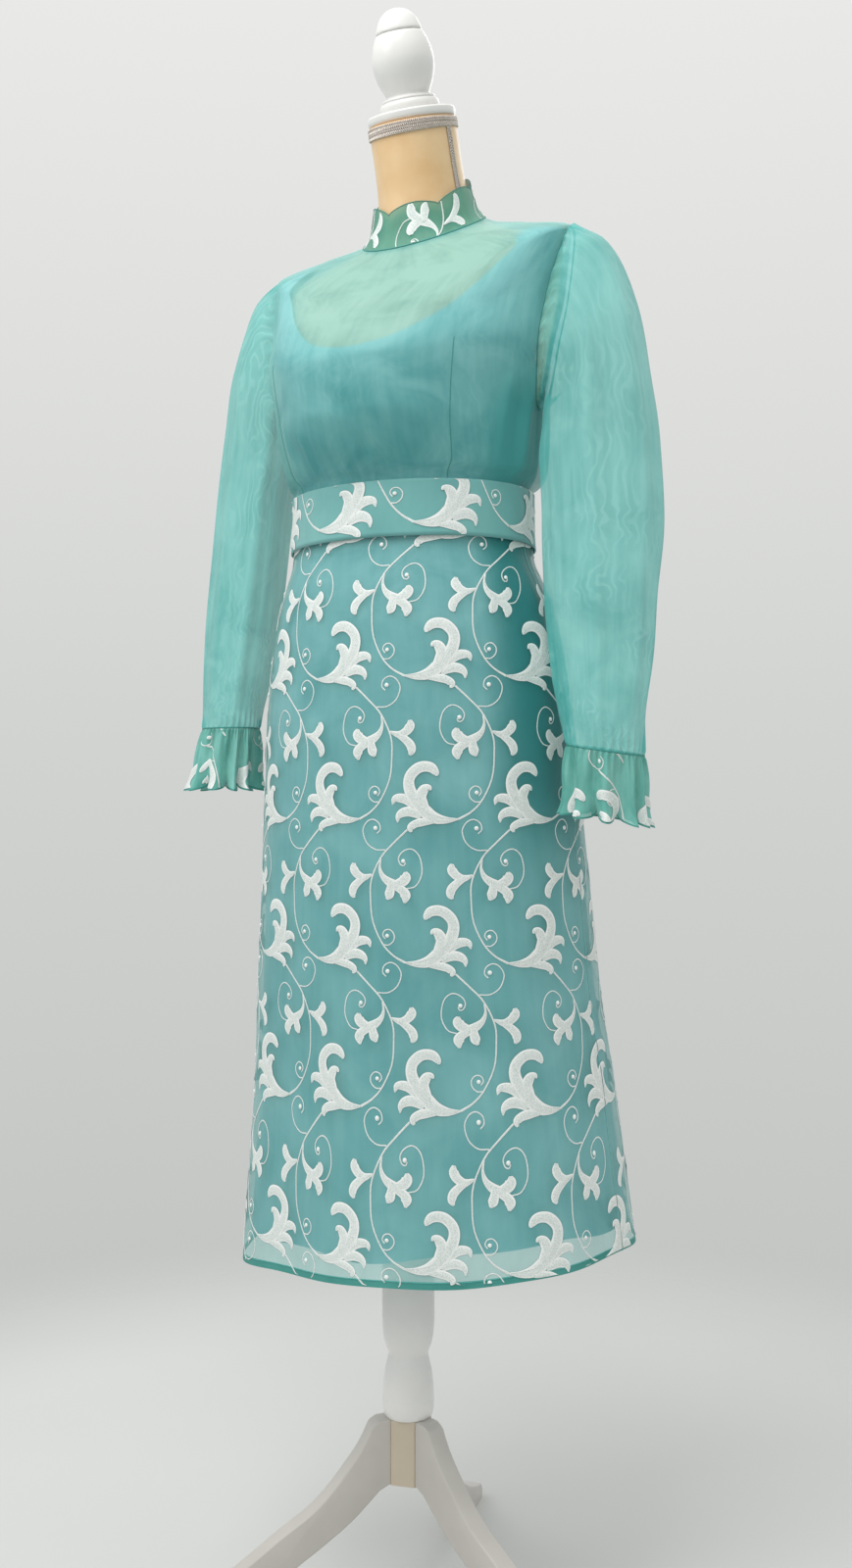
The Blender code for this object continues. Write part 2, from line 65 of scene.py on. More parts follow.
# %% [markdown]
# ## Camera, floor and light
# The photograph was taken from the wearer's left front, at about hip
# height. A wide, pale floor and three large lamps, overhead, in front and
# behind, give the flat, soft light of a product studio.

# %% Camera
IMAGE_HEIGHT = 1600
camera = bpy.data.objects.new("camera", bpy.data.cameras.new("camera"))
bpy.context.collection.objects.link(camera)
view_turn = math.radians(30)
distance, eye_height = 1.696, 0.875
away = distance * np.array((math.sin(view_turn), -math.cos(view_turn), 0.0))
camera.location = AXIS + away + (0, 0, eye_height)
# The pole stands 18 pixels left of the picture's middle
camera.rotation_euler = (math.pi / 2, 0, view_turn - math.atan(18 / IMAGE_HEIGHT))
camera.data.sensor_width = 36
camera.data.lens = 36
camera.data.shift_y = 0.0125
camera.data.clip_end = 60
bpy.context.scene.camera = camera
print("camera:", [round(x, 3) for x in camera.location])

# %% [markdown]
# ## Helpers for finishes
# A colour is picked in sRGB hex, as on a screen, and the shader wants it
# linear. One function adds a node with its settings and its links. The short
# ones after it name the few nodes that nearly every finish uses.


# %% Colour and node helpers
def linear(code):
    """Linear colour with alpha from sRGB hex."""
    parts = [int(code[i : i + 2], 16) / 255 for i in (1, 3, 5)]
    return (*(p / 12.92 if p <= 0.04045 else ((p + 0.055) / 1.055) ** 2.4 for p in parts), 1.0)


def add(tree, kind, links=None, **settings):
    """A shader node. links maps its sockets to plain values, hex colours, nodes or outputs."""
    node = tree.nodes.new("ShaderNode" + kind)
    for name, value in settings.items():
        setattr(node, name, value)
    for socket, value in (links or {}).items():
        if isinstance(value, bpy.types.Node):
            value = value.outputs[0]
        if isinstance(value, bpy.types.NodeSocket):
            tree.links.new(value, node.inputs[socket])
        else:
            node.inputs[socket].default_value = linear(value) if isinstance(value, str) else value
    return node


def finish(name, **sockets):
    """A Principled material, with plain values set on the shader's sockets."""
    material = bpy.data.materials.new(name)
    material.use_nodes = True
    shader = material.node_tree.nodes["Principled BSDF"]
    for socket, value in sockets.items():
        shader.inputs[socket.replace("_", " ")].default_value = value
    return material, material.node_tree, shader


def maths(tree, operation, *values):
    return add(tree, "Math", dict(enumerate(values)), operation=operation)


def noise(tree, place, scale, detail=2.0, **more):
    return add(tree, "TexNoise", {"Vector": place, "Scale": scale, "Detail": detail, **more})


def span(tree, value, start, end, low=0.0, high=1.0, curve="LINEAR"):
    """Runs from low to high while the value runs from start to end."""
    links = {"Value": value, "From Min": start, "From Max": end, "To Min": low, "To Max": high}
    return add(tree, "MapRange", links, interpolation_type=curve)


def blend(tree, share, first, second):
    """The colour at a share of the way from the first to the second."""
    return add(tree, "Mix", {"Factor": share, 6: first, 7: second}, data_type="RGBA").outputs[2]


def cover(tree, shader, tone, height, strength, distance):
    """Gives the shader its colour, and a fine relief from a height."""
    tree.links.new(tone, shader.inputs["Base Color"])
    relief = add(tree, "Bump", {"Height": height, "Strength": strength, "Distance": distance})
    tree.links.new(relief.outputs[0], shader.inputs["Normal"])


def link_piece(name, bm, material):
    """An object at the origin from a bmesh, shaded smooth."""
    mesh = bpy.data.meshes.new(name)
    bm.to_mesh(mesh)
    bm.free()
    mesh.shade_smooth()
    mesh.materials.append(material)
    piece = bpy.data.objects.new(name, mesh)
    bpy.context.collection.objects.link(piece)
    return piece


# %% Floor and lamps
floor_paper, tree, shader = finish("pale studio paper", Roughness=0.8)
place = add(tree, "TexCoord").outputs["Object"]
tone = blend(tree, noise(tree, place, 2.0, 3.0), "#c9cbca", "#d0d1cf")
tree.links.new(tone, shader.inputs["Base Color"])
away = add(tree, "VectorMath", {0: place}, operation="LENGTH").outputs["Value"]
fade = span(tree, away, 0.8, 1.5, 1.0, 0.0, "SMOOTHSTEP")
tree.links.new(fade.outputs[0], shader.inputs["Alpha"])
bm = bmesh.new()
bmesh.ops.create_circle(bm, cap_ends=True, radius=1.6, segments=96)
link_piece("floor", bm, floor_paper)

# The backdrop is brightest high up and greyer towards the floor
world = bpy.data.worlds.new("studio")
bpy.context.scene.world = world
world.use_nodes = True
tree = world.node_tree
place = add(tree, "TexCoord").outputs["Object"]
height = add(tree, "SeparateXYZ", {"Vector": place}).outputs["Z"]
ramp = add(tree, "ValToRGB", {"Fac": span(tree, height, -0.3, 0.5)})
ramp.color_ramp.elements[0].color = linear("#c3c5c3")
ramp.color_ramp.elements[1].color = linear("#ececea")
ramp.color_ramp.elements.new(0.45).color = linear("#d2d4d2")
tree.links.new(ramp.outputs["Color"], tree.nodes["Background"].inputs["Color"])

Lamp = namedtuple("Lamp", "name turn height away size watts")
LAMPS = (
    Lamp("overhead", 0, 3.2, 1.1, 1.2, 30),
    Lamp("key", -30, 2.7, 2.2, 1.2, 15),
    Lamp("back", 190, 2.6, 2.2, 1.4, 10),
)
for lamp in LAMPS:
    light = bpy.data.objects.new(lamp.name, bpy.data.lights.new(lamp.name, "AREA"))
    bpy.context.collection.objects.link(light)
    light.data.size, light.data.energy = lamp.size, lamp.watts
    turn = math.radians(lamp.turn)
    spot = Vector((AXIS[0] + lamp.away * math.sin(turn), AXIS[1] - lamp.away * math.cos(turn), lamp.height))
    light.location = spot
    light.rotation_euler = (Vector((AXIS[0], AXIS[1], 1.1)) - spot).to_track_quat("-Z", "Y").to_euler()
bpy.context.scene.view_settings.view_transform = "Standard"
print("lamps:", [lamp.name for lamp in LAMPS])

# %% [markdown]
# ## The cut of the dress
# A dress is measured in rings: neck, shoulder, bust, waist, hip and hem. The
# same table as in the part's source gives each ring's height at the front,
# sides and back, its widths, and how far inside it the lining and the form
# lie. A smooth curve runs between the rows, so a finer mesh has the same
# shape as the rigid part.

# %% Rings of the dress
Ring = namedtuple(
    "Ring", "front_z side_z back_z half_width front_depth back_depth centre_x centre_y left_lift lining form"
)
RINGS = np.array(
    (
        (1.5981, 1.614, 1.6299, 0.0475, 0.0475, 0.0475, 0, 0.0085, 0, 0, 0.0010),
        (1.510, 1.540, 1.573, 0.0525, 0.0540, 0.0540, 0.001, 0.0285, 0, 0, 0.0050),
        (1.466, 1.504, 1.537, 0.0670, 0.0660, 0.0670, 0, 0.0350, 0, 0.0032, 0.0020),
        (1.438, 1.493, 1.505, 0.1200, 0.0900, 0.0860, 0, 0.0340, 0, 0.0040, 0.0095),
        (1.402, 1.477, 1.455, 0.1770, 0.1150, 0.1000, 0, 0.0320, 0, 0.0048, 0.0135),
        (1.364, 1.410, 1.400, 0.1690, 0.1480, 0.1060, 0, 0.0250, 0, 0.0036, 0.0100),
        (1.320, 1.345, 1.345, 0.1600, 0.1590, 0.1060, 0, 0.0130, 0, 0.0050, 0.0095),
        (1.272, 1.285, 1.285, 0.1500, 0.1550, 0.1080, 0, 0.0140, 0, 0.0040, 0.0100),
        (1.222, 1.226, 1.226, 0.1460, 0.1290, 0.1180, 0, 0.0170, 0, 0.0110, 0.0180),
        (1.204, 1.204, 1.200, 0.1330, 0.1080, 0.1060, 0, 0.0085, 0, 0.0036, 0.0078),
        (1.146, 1.146, 1.142, 0.1345, 0.1100, 0.1080, 0, 0.0085, 0, 0.0032, 0.0068),
        (1.080, 1.080, 1.080, 0.1560, 0.1230, 0.1260, 0, 0.0130, 0, 0.0032, 0.0080),
        (0.980, 0.980, 0.980, 0.1730, 0.1330, 0.1400, 0, 0.0180, 0, 0.0032, 0.0100),
        (0.860, 0.860, 0.860, 0.1830, 0.1400, 0.1480, 0, 0.0260, 0, 0.0045, 0.0200),
        (0.700, 0.700, 0.700, 0.1950, 0.1470, 0.1580, 0, 0.0350, 0, 0.0065, 0.0300),
        (0.540, 0.545, 0.545, 0.2090, 0.1570, 0.1700, 0.004, 0.0420, 0.008, 0.0080, 0.0300),
        (0.388, 0.394, 0.400, 0.2240, 0.1680, 0.1820, 0.008, 0.0420, 0.018, 0.0100, 0.0300),
    )
)
COLLAR_TOP, COLLAR_BASE, UNDERARM = 1, 2, 7
BELT_TOP, WAIST_SEAM, BELT_BOTTOM, THIGH, HEM = 9, 9.5, 10, 13, 16
GAP = 0.0003
# The armhole's edge: ring, and degrees it reaches before and behind the side
ARMHOLE = np.array(
    (
        (4.00, 0.0, 0.0), (4.15, 4.5, 7.4), (4.50, 8.5, 12.7), (5.00, 11.5, 16.0), (5.50, 11.0, 17.0),
        (6.00, 9.0, 16.0), (6.50, 6.5, 12.7), (6.85, 4.0, 7.4), (7.00, 0.0, 0.0),
    )
)
# The lining's front neckline: degrees from centre front, and ring
NECKLINE = np.array(
    (
        (-90.0, 3.20), (-66.0, 3.35), (-53.0, 3.65), (-44.0, 4.10), (-36.0, 4.65), (-24.0, 5.20),
        (-10.0, 5.55), (4.0, 5.66), (18.0, 5.58), (31.0, 5.30), (41.0, 5.00), (48.0, 4.60),
        (53.0, 4.15), (57.0, 3.70), (66.0, 3.40), (90.0, 3.20),
    )
)


def cos_of(degrees):
    return np.cos(np.radians(degrees))


def sin_of(degrees):
    return np.sin(np.radians(degrees))


def hermite(s, start, start_slope, end, end_slope):
    """The smooth curve between two values with two slopes, at share s."""
    s2, s3 = s**2, s**3
    rise = (2 * s3 - 3 * s2 + 1) * start + (s3 - 2 * s2 + s) * start_slope
    return rise + (3 * s2 - 2 * s3) * end + (s3 - s2) * end_slope


def along(table, t):
    """Rows of a table at the places t, on a smooth curve that never overshoots."""
    t = np.clip(np.asarray(t, float), 0, len(table) - 1)
    first = np.minimum(t.astype(int), len(table) - 2)
    share = (t - first)[..., None]
    rise = np.diff(table, axis=0)
    product = rise[:-1] * rise[1:]
    total = rise[:-1] + rise[1:]
    middle = np.where(product > 0, 2 * product / np.where(total == 0, 1, total), 0)
    slope = np.vstack((rise[:1], middle, rise[-1:]))
    return hermite(share, table[first], slope[first], table[first + 1], slope[first + 1])


def body_face(t, turn):
    """Points of the dress's outer face at ring t, turn degrees from centre front."""
    t, turn = np.broadcast_arrays(np.asarray(t, float), turn)
    ring = Ring(*np.moveaxis(along(RINGS, t), -1, 0))
    c, s = cos_of(turn), sin_of(turn)
    depth = (ring.front_depth + ring.back_depth) / 2
    forward = (ring.front_depth - ring.back_depth) / 2
    tilt = (ring.front_z - ring.back_z) / 2
    dip = (ring.front_z + ring.back_z) / 2 - ring.side_z
    x = ring.centre_x + ring.half_width * s
    y = ring.centre_y - depth * c - forward * c * c
    z = ring.side_z + tilt * c + dip * c * c + ring.left_lift * s
    return np.stack((x, y, z), -1)


def unit(v):
    return v / np.maximum(np.linalg.norm(v, axis=-1, keepdims=True), 1e-9)


def body_point(t, turn, out=0.0):
    """body_face moved out along its normal by out metres."""
    t, turn, out = np.broadcast_arrays(np.asarray(t, float), turn, out)
    down = body_face(np.minimum(t + 0.03, HEM), turn) - body_face(np.maximum(t - 0.03, 0), turn)
    across = body_face(t, turn + 1.0) - body_face(t, turn - 1.0)
    return body_face(t, turn) + unit(np.cross(down, across)) * out[..., None]


def ring_size(t, column):
    return along(RINGS, t)[..., Ring._fields.index(column)]


waist = body_face(WAIST_SEAM, np.linspace(0, 360, 73))
print("waist:", round(float(np.linalg.norm(np.diff(waist, axis=0), axis=1).sum()), 2), "m")

# %% [markdown]
# ## Sheets of cloth
# Each cut piece starts as a flat grid, as cloth lies on the cutting table,
# and a place function puts every point on the body. The UV map keeps the flat
# size in metres, so threads and weave have their real scale.


# %% A sheet of cloth from a flat grid
def wear(piece, slot, *nodes):
    """The piece rides on the stand, and stands for the CAD nodes named."""
    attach(piece, "root")
    if nodes:
        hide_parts(*nodes)


def cloth(name, place, across, down, material, closed=False, hem=None, hem_rows=1):
    """Sheet over a grid: place(u, v) gives points, u across and v down in 0..1.
    The lowest rows can be of a second cloth, a doubled hem."""
    bm = bmesh.new()
    bmesh.ops.create_grid(bm, x_segments=across, y_segments=down, size=1.0)
    flat = np.array([vert.co for vert in bm.verts])
    u, v = (flat[:, 0] + 1) / 2, (1 - flat[:, 1]) / 2
    points = place(u, v) + AXIS
    grid = points[np.lexsort((u.round(6), v.round(6)))].reshape(down + 1, across + 1, 3)
    width = np.linalg.norm(np.diff(grid, axis=1), axis=2).sum(1).max()
    length = np.linalg.norm(np.diff(grid, axis=0), axis=2).sum(0).max()
    layer = bm.loops.layers.uv.new("cut")
    for face in bm.faces:
        for loop in face.loops:
            loop[layer].uv = ((loop.vert.co.x + 1) / 2 * width, (loop.vert.co.y + 1) / 2 * length)
        if hem and face.calc_center_median().y < -1 + 2 * hem_rows / down:
            face.material_index = 1
    for vert, point in zip(bm.verts, points):
        vert.co = point
    if closed:
        bmesh.ops.remove_doubles(bm, verts=bm.verts, dist=0.00002)
    area = sum(face.calc_area() for face in bm.faces)
    piece = link_piece(name, bm, material)
    if hem:
        piece.data.materials.append(hem)
    piece["cut"] = (width, length, min(area, width * length))
    return piece


def hang(name, slot, place, across, down, material, rests_on, **more):
    """A sheet that hangs, in the place of the CAD node of that name."""
    piece = cloth(name + "_cloth", place, across, down, material, **more)
    wear(piece, slot, name)


# %% [markdown]
# Soft creases are drawn in a table. A row has the turn and height
# where the crease starts, those where it ends, how wide it is and how far it
# stands out. A turn is in degrees from centre front, the rest in millimetres.

# %% Creases
DEGREE = 0.0026  # metres of cloth in one degree of turn, about


def creases(table, turn, z):
    """How far the cloth stands out, in metres, at each turn and height."""
    out = np.zeros(np.broadcast(turn, z).shape)
    for turn0, z0, turn1, z1, width, height in table:
        z0, z1, width, height = z0 / 1000, z1 / 1000, width / 1000, height / 1000
        along_turn, along_z = (turn1 - turn0) * DEGREE, z1 - z0
        from_turn, from_z = ((turn - turn0 + 180) % 360 - 180) * DEGREE, z - z0
        share = (from_turn * along_turn + from_z * along_z) / (along_turn**2 + along_z**2)
        held = np.clip(share, 0, 1)
        gap = np.hypot(from_turn - held * along_turn, from_z - held * along_z)
        fade = np.sin(np.pi * np.clip(0.06 + 0.88 * share, 0, 1))
        out += height * np.exp(-((gap / width) ** 2)) * fade
    return out


# %% [markdown]
# ## Organza and lining
# Organza is a crisp, sheer plain weave. You see through it because there is
# air between the threads, so the finish has a plain alpha. Two layers look
# twice as dense, as where a sleeve's front lies over its back. The real
# threads stand 0.2 mm apart, too fine to show, so the weave is drawn 0.9 mm.


# %% Cloth finishes
THREAD_PITCH = 0.0009
THREAD_BANDS = math.pi / 10 / THREAD_PITCH  # wave texture's scale for one band a thread


def woven(name, dark, light, cloudy, streaky, bump=0.25, watered=0.0, sides=None, bust=0.0, **sockets):
    """Woven cloth, coloured from the piece's cut UV map, in metres. The tone
    drifts in clouds, streaks and watered lines of the strengths given. sides
    is a deeper tone painted at the sides, from thigh to underarm: painted shade
    where the sleeves hang beside the body, over the doubled cloth of the side
    seams. The last of the named values paints light on the chest: the cloth is
    that much paler high up than under it, as lit from above, and darker below."""
    material, tree, shader = finish(name, **sockets)
    uv = add(tree, "UVMap", uv_map="cut").outputs["UV"]
    cloud = noise(tree, uv, 16.0, 4.0, Distortion=0.6)
    slub = noise(tree, add(tree, "Mapping", {"Vector": uv, "Scale": (1.0, 0.1, 1.0)}), 90.0, 3.0)
    drift = maths(tree, "MULTIPLY_ADD", cloud, cloudy, 0.5 - 0.5 * cloudy)
    drift = maths(tree, "MULTIPLY_ADD", slub, streaky, drift)
    drift = maths(tree, "SUBTRACT", drift, 0.5 * streaky)
    if watered:
        bands = {"Vector": uv, "Scale": 24.0, "Distortion": 14.0, "Detail": 1.5, "Detail Scale": 1.2}
        lines = span(tree, add(tree, "TexWave", bands).outputs["Fac"], 0.55, 1.0)
        patch = span(tree, noise(tree, uv, 9.0), 0.48, 0.6)
        drift = maths(tree, "MULTIPLY_ADD", maths(tree, "MULTIPLY", lines, patch), watered, drift)
    place = add(tree, "TexCoord").outputs["Object"]
    height = add(tree, "SeparateXYZ", {"Vector": place}).outputs["Z"]
    # Painted light and shade: the cloth is paler high on the chest and darker under it, as light from above
    # falls
    if bust:
        rise = span(tree, height, 1.24, 1.39, -0.3 * bust, 0.7 * bust, "SMOOTHSTEP")
        drift = maths(tree, "ADD", drift, rise)
    tone = blend(tree, drift, dark, light)
    # Painted shade: a deeper tone at the sides, from thigh to underarm, where the sleeves hang beside the
    # body
    if sides:
        from_axis = add(tree, "VectorMath", {0: place, 1: tuple(AXIS)}, operation="SUBTRACT")
        level = add(tree, "VectorMath", {0: from_axis, 1: (1.0, 1.0, 0.0)}, operation="MULTIPLY")
        level = add(tree, "VectorMath", {0: level}, operation="NORMALIZE")
        sideways = maths(tree, "ABSOLUTE", add(tree, "SeparateXYZ", {"Vector": level}).outputs["X"])
        share = span(tree, sideways, 0.86, 0.985, curve="SMOOTHSTEP")
        for start, end in ((0.72, 0.98), (1.34, 1.28)):
            share = maths(tree, "MULTIPLY", share, span(tree, height, start, end, curve="SMOOTHSTEP"))
        tone = blend(tree, share, tone, sides)
    wave = {"Vector": uv, "Scale": THREAD_BANDS, "Distortion": 0.3}
    threads = [add(tree, "TexWave", wave, bands_direction=way).outputs["Fac"] for way in "XY"]
    cover(tree, shader, tone, maths(tree, "MAXIMUM", *threads), bump, 0.0004)
    return material


# Silk organza, plain woven and stiff: sheer, with a milky sheen on its threads
SILK = dict(Roughness=0.5, Sheen_Weight=0.2, Sheen_Roughness=0.4, Specular_IOR_Level=0.3)
organza = woven(
    "silk organza, plain woven", "#3eb2ad", "#82d8d2", 1.9, 1.1, watered=0.4, Alpha=0.6, **SILK
)
# In the bodice it lies close over form and lining and takes their tone
CLOSE = SILK | dict(Alpha=0.62, Sheen_Weight=0.15, Specular_IOR_Level=0.25)
# Painted light and shade in the bodice: paler on the chest as lit from above, deeper at the sides under the
# arms
WATERED_AND_PAINTED_LIGHT = dict(watered=0.15, sides="#4fafaa", bust=0.42)
bodice_organza = woven("silk organza, lying close", "#50ada9", "#86d0ca", 2.4, 0.9, **WATERED_AND_PAINTED_LIGHT, **CLOSE)
# The same organza in the skirt, where it lies flat over the lining
# Its side colour is painted shade, where the sleeves hang beside the skirt
skirt_organza = woven(
    "silk organza, embroidered", "#66b2ae", "#90d0cc", 1.8, 0.6, sides="#2a8f8a", Alpha=0.55, **SILK
)
# Organza doubled in the collar: denser and greener
double_organza = woven("silk organza, doubled", "#3c8774", "#5fa893", 2.0, 0.5, Alpha=0.82, **SILK)
# Two layers of it held apart in the cuffs' frills: lighter than the collar
frill_organza = woven("silk organza, doubled and frilled", "#51a79b", "#88cec3", 2.4, 0.8, Alpha=0.8, **SILK)
# Acetate lining, plain woven and calendered: opaque, with a soft shine
ACETATE = dict(bump=0.15, Roughness=0.42, Sheen_Weight=0.15, Specular_IOR_Level=0.4)
# Painted light and shade in the lining: paler on the chest as lit from above, deeper at the sides under the
# arms
lining_cloth = woven(
    "acetate lining, plain woven", "#62a4b8", "#b9e0ee", 1.0, 0.3, sides="#64abb6", bust=0.8, **ACETATE
)
# The same lining in the skirt
# Its side colour is painted shade under the arms
skirt_lining_cloth = woven(
    "acetate lining, cut for the skirt", "#68a4b6", "#90c4d2", 2.0, 0.5, sides="#4593a0", **ACETATE
)
# Belt organza over stiffening: opaque, a little darker than the skirt
BELTING = dict(Roughness=0.5, Sheen_Weight=0.2, Specular_IOR_Level=0.3)
belt_cloth = woven("silk organza over belting", "#62a3a2", "#79b6b3", 1.6, 0.4, **BELTING)
print("cloths:", [m.name for m in (organza, skirt_organza, double_organza, lining_cloth, belt_cloth)])

# %% [markdown]
# Seams, piped edges and braid are thin tubes along a line of points. The
# section is an oval, flat on the cloth, and the ends are closed.

# %% A tube along a line
def tube(bm, line, lift, half_width, half_height, around=6):
    """Sweeps an oval along the points. lift points away from the cloth."""
    down = len(line) - 1
    way = unit(np.gradient(line, axis=0))
    aside = unit(np.cross(way, lift))
    lift = np.cross(aside, way)
    made = bmesh.ops.create_grid(bm, x_segments=around, y_segments=down, size=1.0)
    for vert in made["verts"]:
        row, turn = round((vert.co.y + 1) / 2 * down), vert.co.x * math.pi
        spread = aside[row] * math.cos(turn) * half_width + lift[row] * math.sin(turn) * half_height
        vert.co = line[row] + spread


def close_tubes(bm):
    """Joins each tube along its length and closes its ends."""
    bmesh.ops.remove_doubles(bm, verts=bm.verts, dist=0.00002)
    bmesh.ops.holes_fill(bm, edges=[edge for edge in bm.edges if edge.is_boundary], sides=12)
    bmesh.ops.recalc_face_normals(bm, faces=bm.faces)


def seam(name, material, slot, *runs):
    """One piece of seams. A run is a line of points on the cloth, the half
    width and the half height."""
    bm = bmesh.new()
    for line, half_width, half_height in runs:
        line = line + AXIS
        away = (line - line.mean(axis=0)) if np.allclose(line[0], line[-1]) else (line - AXIS)
        tube(bm, line, unit(away * (1, 1, 0)), half_width, half_height)
    close_tubes(bm)
    piece = link_piece(name, bm, material)
    wear(piece, slot)
    return piece


# %% [markdown]
# ## Lining
# The sleeveless lining is what makes the bodice and the skirt opaque. Its
# wide scoop neck shows through the sheer yoke. It lies a few millimetres
# inside the organza, by the lining column of the rings.

# %% Lining bodice
ARMHOLE_EDGE = along(ARMHOLE, np.linspace(0, len(ARMHOLE) - 1, 241))
NECKLINE_EDGE = along(NECKLINE, np.linspace(0, len(NECKLINE) - 1, 241))
SIDES = (-90.0, 90.0, 270.0)


def armhole_reach(t, side):
    """Degrees that the armhole reaches before (side 1) or behind (2) the side."""
    return np.interp(t, ARMHOLE_EDGE[:, 0], ARMHOLE_EDGE[:, side], left=0.0, right=0.0)


def scoop(turn):
    """The lining's neckline as a ring number, for turns from -90 to 270."""
    front = np.interp(turn, NECKLINE_EDGE[:, 0], NECKLINE_EDGE[:, 1])
    back = 3.2 + 1.3 * (1.0 - np.minimum(np.abs(180.0 - turn) / 90.0, 1) ** 3)
    return np.where(turn <= 90.0, front, back)


def between_seams(start, end, t, u, under=0.0):
    """Turn at share u between two seams. It stays off an armhole at a side,
    or goes under its edge by some degrees."""
    trim = math.degrees(1) * 0.0004 / ring_size(t, "half_width")
    side = 1 if start < 0 else 2
    reach = np.maximum(armhole_reach(t, side) - under, 0)
    first = start + trim + (reach if start in SIDES else 0.0)
    last = end - trim - (reach if end in SIDES else 0.0)
    return first + (last - first) * u


def lining_bodice(start, end):
    def place(u, v):
        top = scoop(start + (end - start) * u)
        t = np.where(v < 0.6, top + (UNDERARM - top) * v / 0.6, UNDERARM + (v - 0.6) / 0.4 * 2.5)
        turn = between_seams(start, end, t, u, under=2.5)
        return body_point(t, turn, -ring_size(t, "lining"))

    return place


# The dress has one front and two backs: name, seam where it starts and ends
CUTS = (("front", -90.0, 90.0), ("back_left", 90.0, 180.0), ("back_right", 180.0, 270.0))
for (name, start, end), across in zip(CUTS, (90, 46, 46)):
    hang("lining_" + name, "lining", lining_bodice(start, end), across, 70, lining_cloth, "form_torso")


# %% [markdown]
# The skirt lining ends 28 mm above the hem, where the photograph shows its
# edge through the organza. Below the thigh the cloth hangs in soft folds.

# %% Skirt and its lining
SKIRT_TOP = WAIST_SEAM + 0.012
FOLD_DEPTH, LINING_HEM_LIFT = 0.0045, 0.028
SKIRT_CREASES = (
    (-40, 1130, -44, 1040, 9.0, 1.2), (-14, 1135, -16, 1070, 7.0, 1.0), (20, 1135, 22, 1060, 8.0, 1.2),
    (52, 1130, 57, 1020, 9.0, 1.6), (70, 1125, 74, 980, 10.0, -1.8), (82, 1130, 86, 930, 9.0, 2.6),
    (-72, 1130, -76, 960, 10.0, 1.8), (-30, 960, 10, 925, 16.0, 1.2), (-6, 840, 44, 812, 18.0, -1.2),
    (-48, 760, 0, 730, 18.0, 1.2), (30, 700, 70, 640, 18.0, 1.4), (112, 1125, 116, 980, 9.0, 1.6),
    (140, 1130, 143, 1000, 9.0, 1.4), (166, 1130, 168, 1010, 8.0, 1.4), (196, 1130, 193, 1010, 8.0, 1.4),
    (222, 1130, 219, 990, 9.0, 1.4), (248, 1125, 244, 970, 9.0, 1.6), (150, 700, 210, 660, 18.0, 1.4),
)
LINING_CREASES = (
    (-36, 392, -34, 560, 14.0, 1.6), (4, 392, 6, 600, 14.0, 1.6), (40, 392, 38, 580, 14.0, -1.6),
)


def skirt_out(t, turn, table):
    """Relief of the skirt: its broad folds, and the creases drawn in a table."""
    low = np.maximum(0.0, t - THIGH) / (HEM - THIGH)
    facing_front = cos_of(((turn + 180) % 360 - 180) / 2)
    fold = FOLD_DEPTH * low * cos_of(7 * turn - 20) * facing_front
    return fold + creases(table, turn, body_face(t, turn)[..., 2])


def hem_sway(turn):
    """How far the hem hangs up or down from level, in metres."""
    return 0.0022 * sin_of(4 * turn + 150) + 0.0010 * sin_of(9 * turn + 20)


def skirt_sheet(start, end, table, lining=False):
    def place(u, v):
        t = SKIRT_TOP + (HEM - SKIRT_TOP) * v
        turn = between_seams(start, end, t, u)
        low = np.maximum(0.0, t - THIGH) / (HEM - THIGH)
        inside = ring_size(t, "lining") if lining else 0.0
        points = body_point(t, turn, skirt_out(t, turn, table) - inside)
        sway = 1.8 * hem_sway(turn + 25) if lining else hem_sway(turn)
        points[..., 2] += (LINING_HEM_LIFT if lining else 0.0) * low**2 + sway * low**6
        return points

    return place


for (name, start, end), across in zip(CUTS, (130, 66, 66)):
    place = skirt_sheet(start, end, LINING_CREASES, lining=True)
    hang("skirt_lining_" + name, "lining", place, across, 110, skirt_lining_cloth, "form_torso")


# %% [markdown]
# ## The sheer bodice
# The organza bodice covers the lining and the form's bare shoulders. It is
# eased into the waist, so short gathers fan up from the belt.

# %% Bodice creases
BODICE_CREASES = (
    (-3, 1204, -4, 1238, 2.8, 2.8), (2, 1204, 4, 1246, 2.8, 3.0), (7, 1204, 10, 1234, 2.8, 2.2),
    (-20, 1204, -24, 1262, 4.2, 2.4), (-32, 1206, -38, 1275, 5.0, 2.6), (24, 1204, 25, 1250, 4.5, 1.2),
    (56, 1204, 60, 1270, 5.0, 1.6), (-14, 1290, 24, 1248, 11.0, -1.4), (-34, 1262, 10, 1226, 10.0, 1.3),
    (18, 1296, 38, 1240, 9.0, 1.2), (44, 1360, 72, 1420, 12.0, -1.4), (48, 1335, 84, 1372, 13.0, 1.6),
    (56, 1300, 90, 1345, 11.0, -2.0), (62, 1215, 70, 1330, 7.5, 3.0), (70, 1215, 77, 1320, 6.0, -2.2),
    (76, 1210, 84, 1325, 6.5, 3.4), (86, 1212, 90, 1310, 6.0, -2.0), (-50, 1215, -54, 1300, 9.0, 1.6),
    (-64, 1215, -66, 1320, 8.0, -1.8), (-76, 1212, -78, 1315, 7.0, 2.6), (-46, 1335, -80, 1385, 12.0, 1.4),
    (104, 1212, 108, 1300, 8.0, 2.2), (126, 1208, 130, 1280, 7.0, 1.6), (150, 1206, 152, 1270, 6.0, 1.8),
    (210, 1206, 208, 1270, 6.0, 1.8), (236, 1208, 231, 1285, 7.0, 1.6), (256, 1212, 250, 1300, 8.0, 2.2),
)
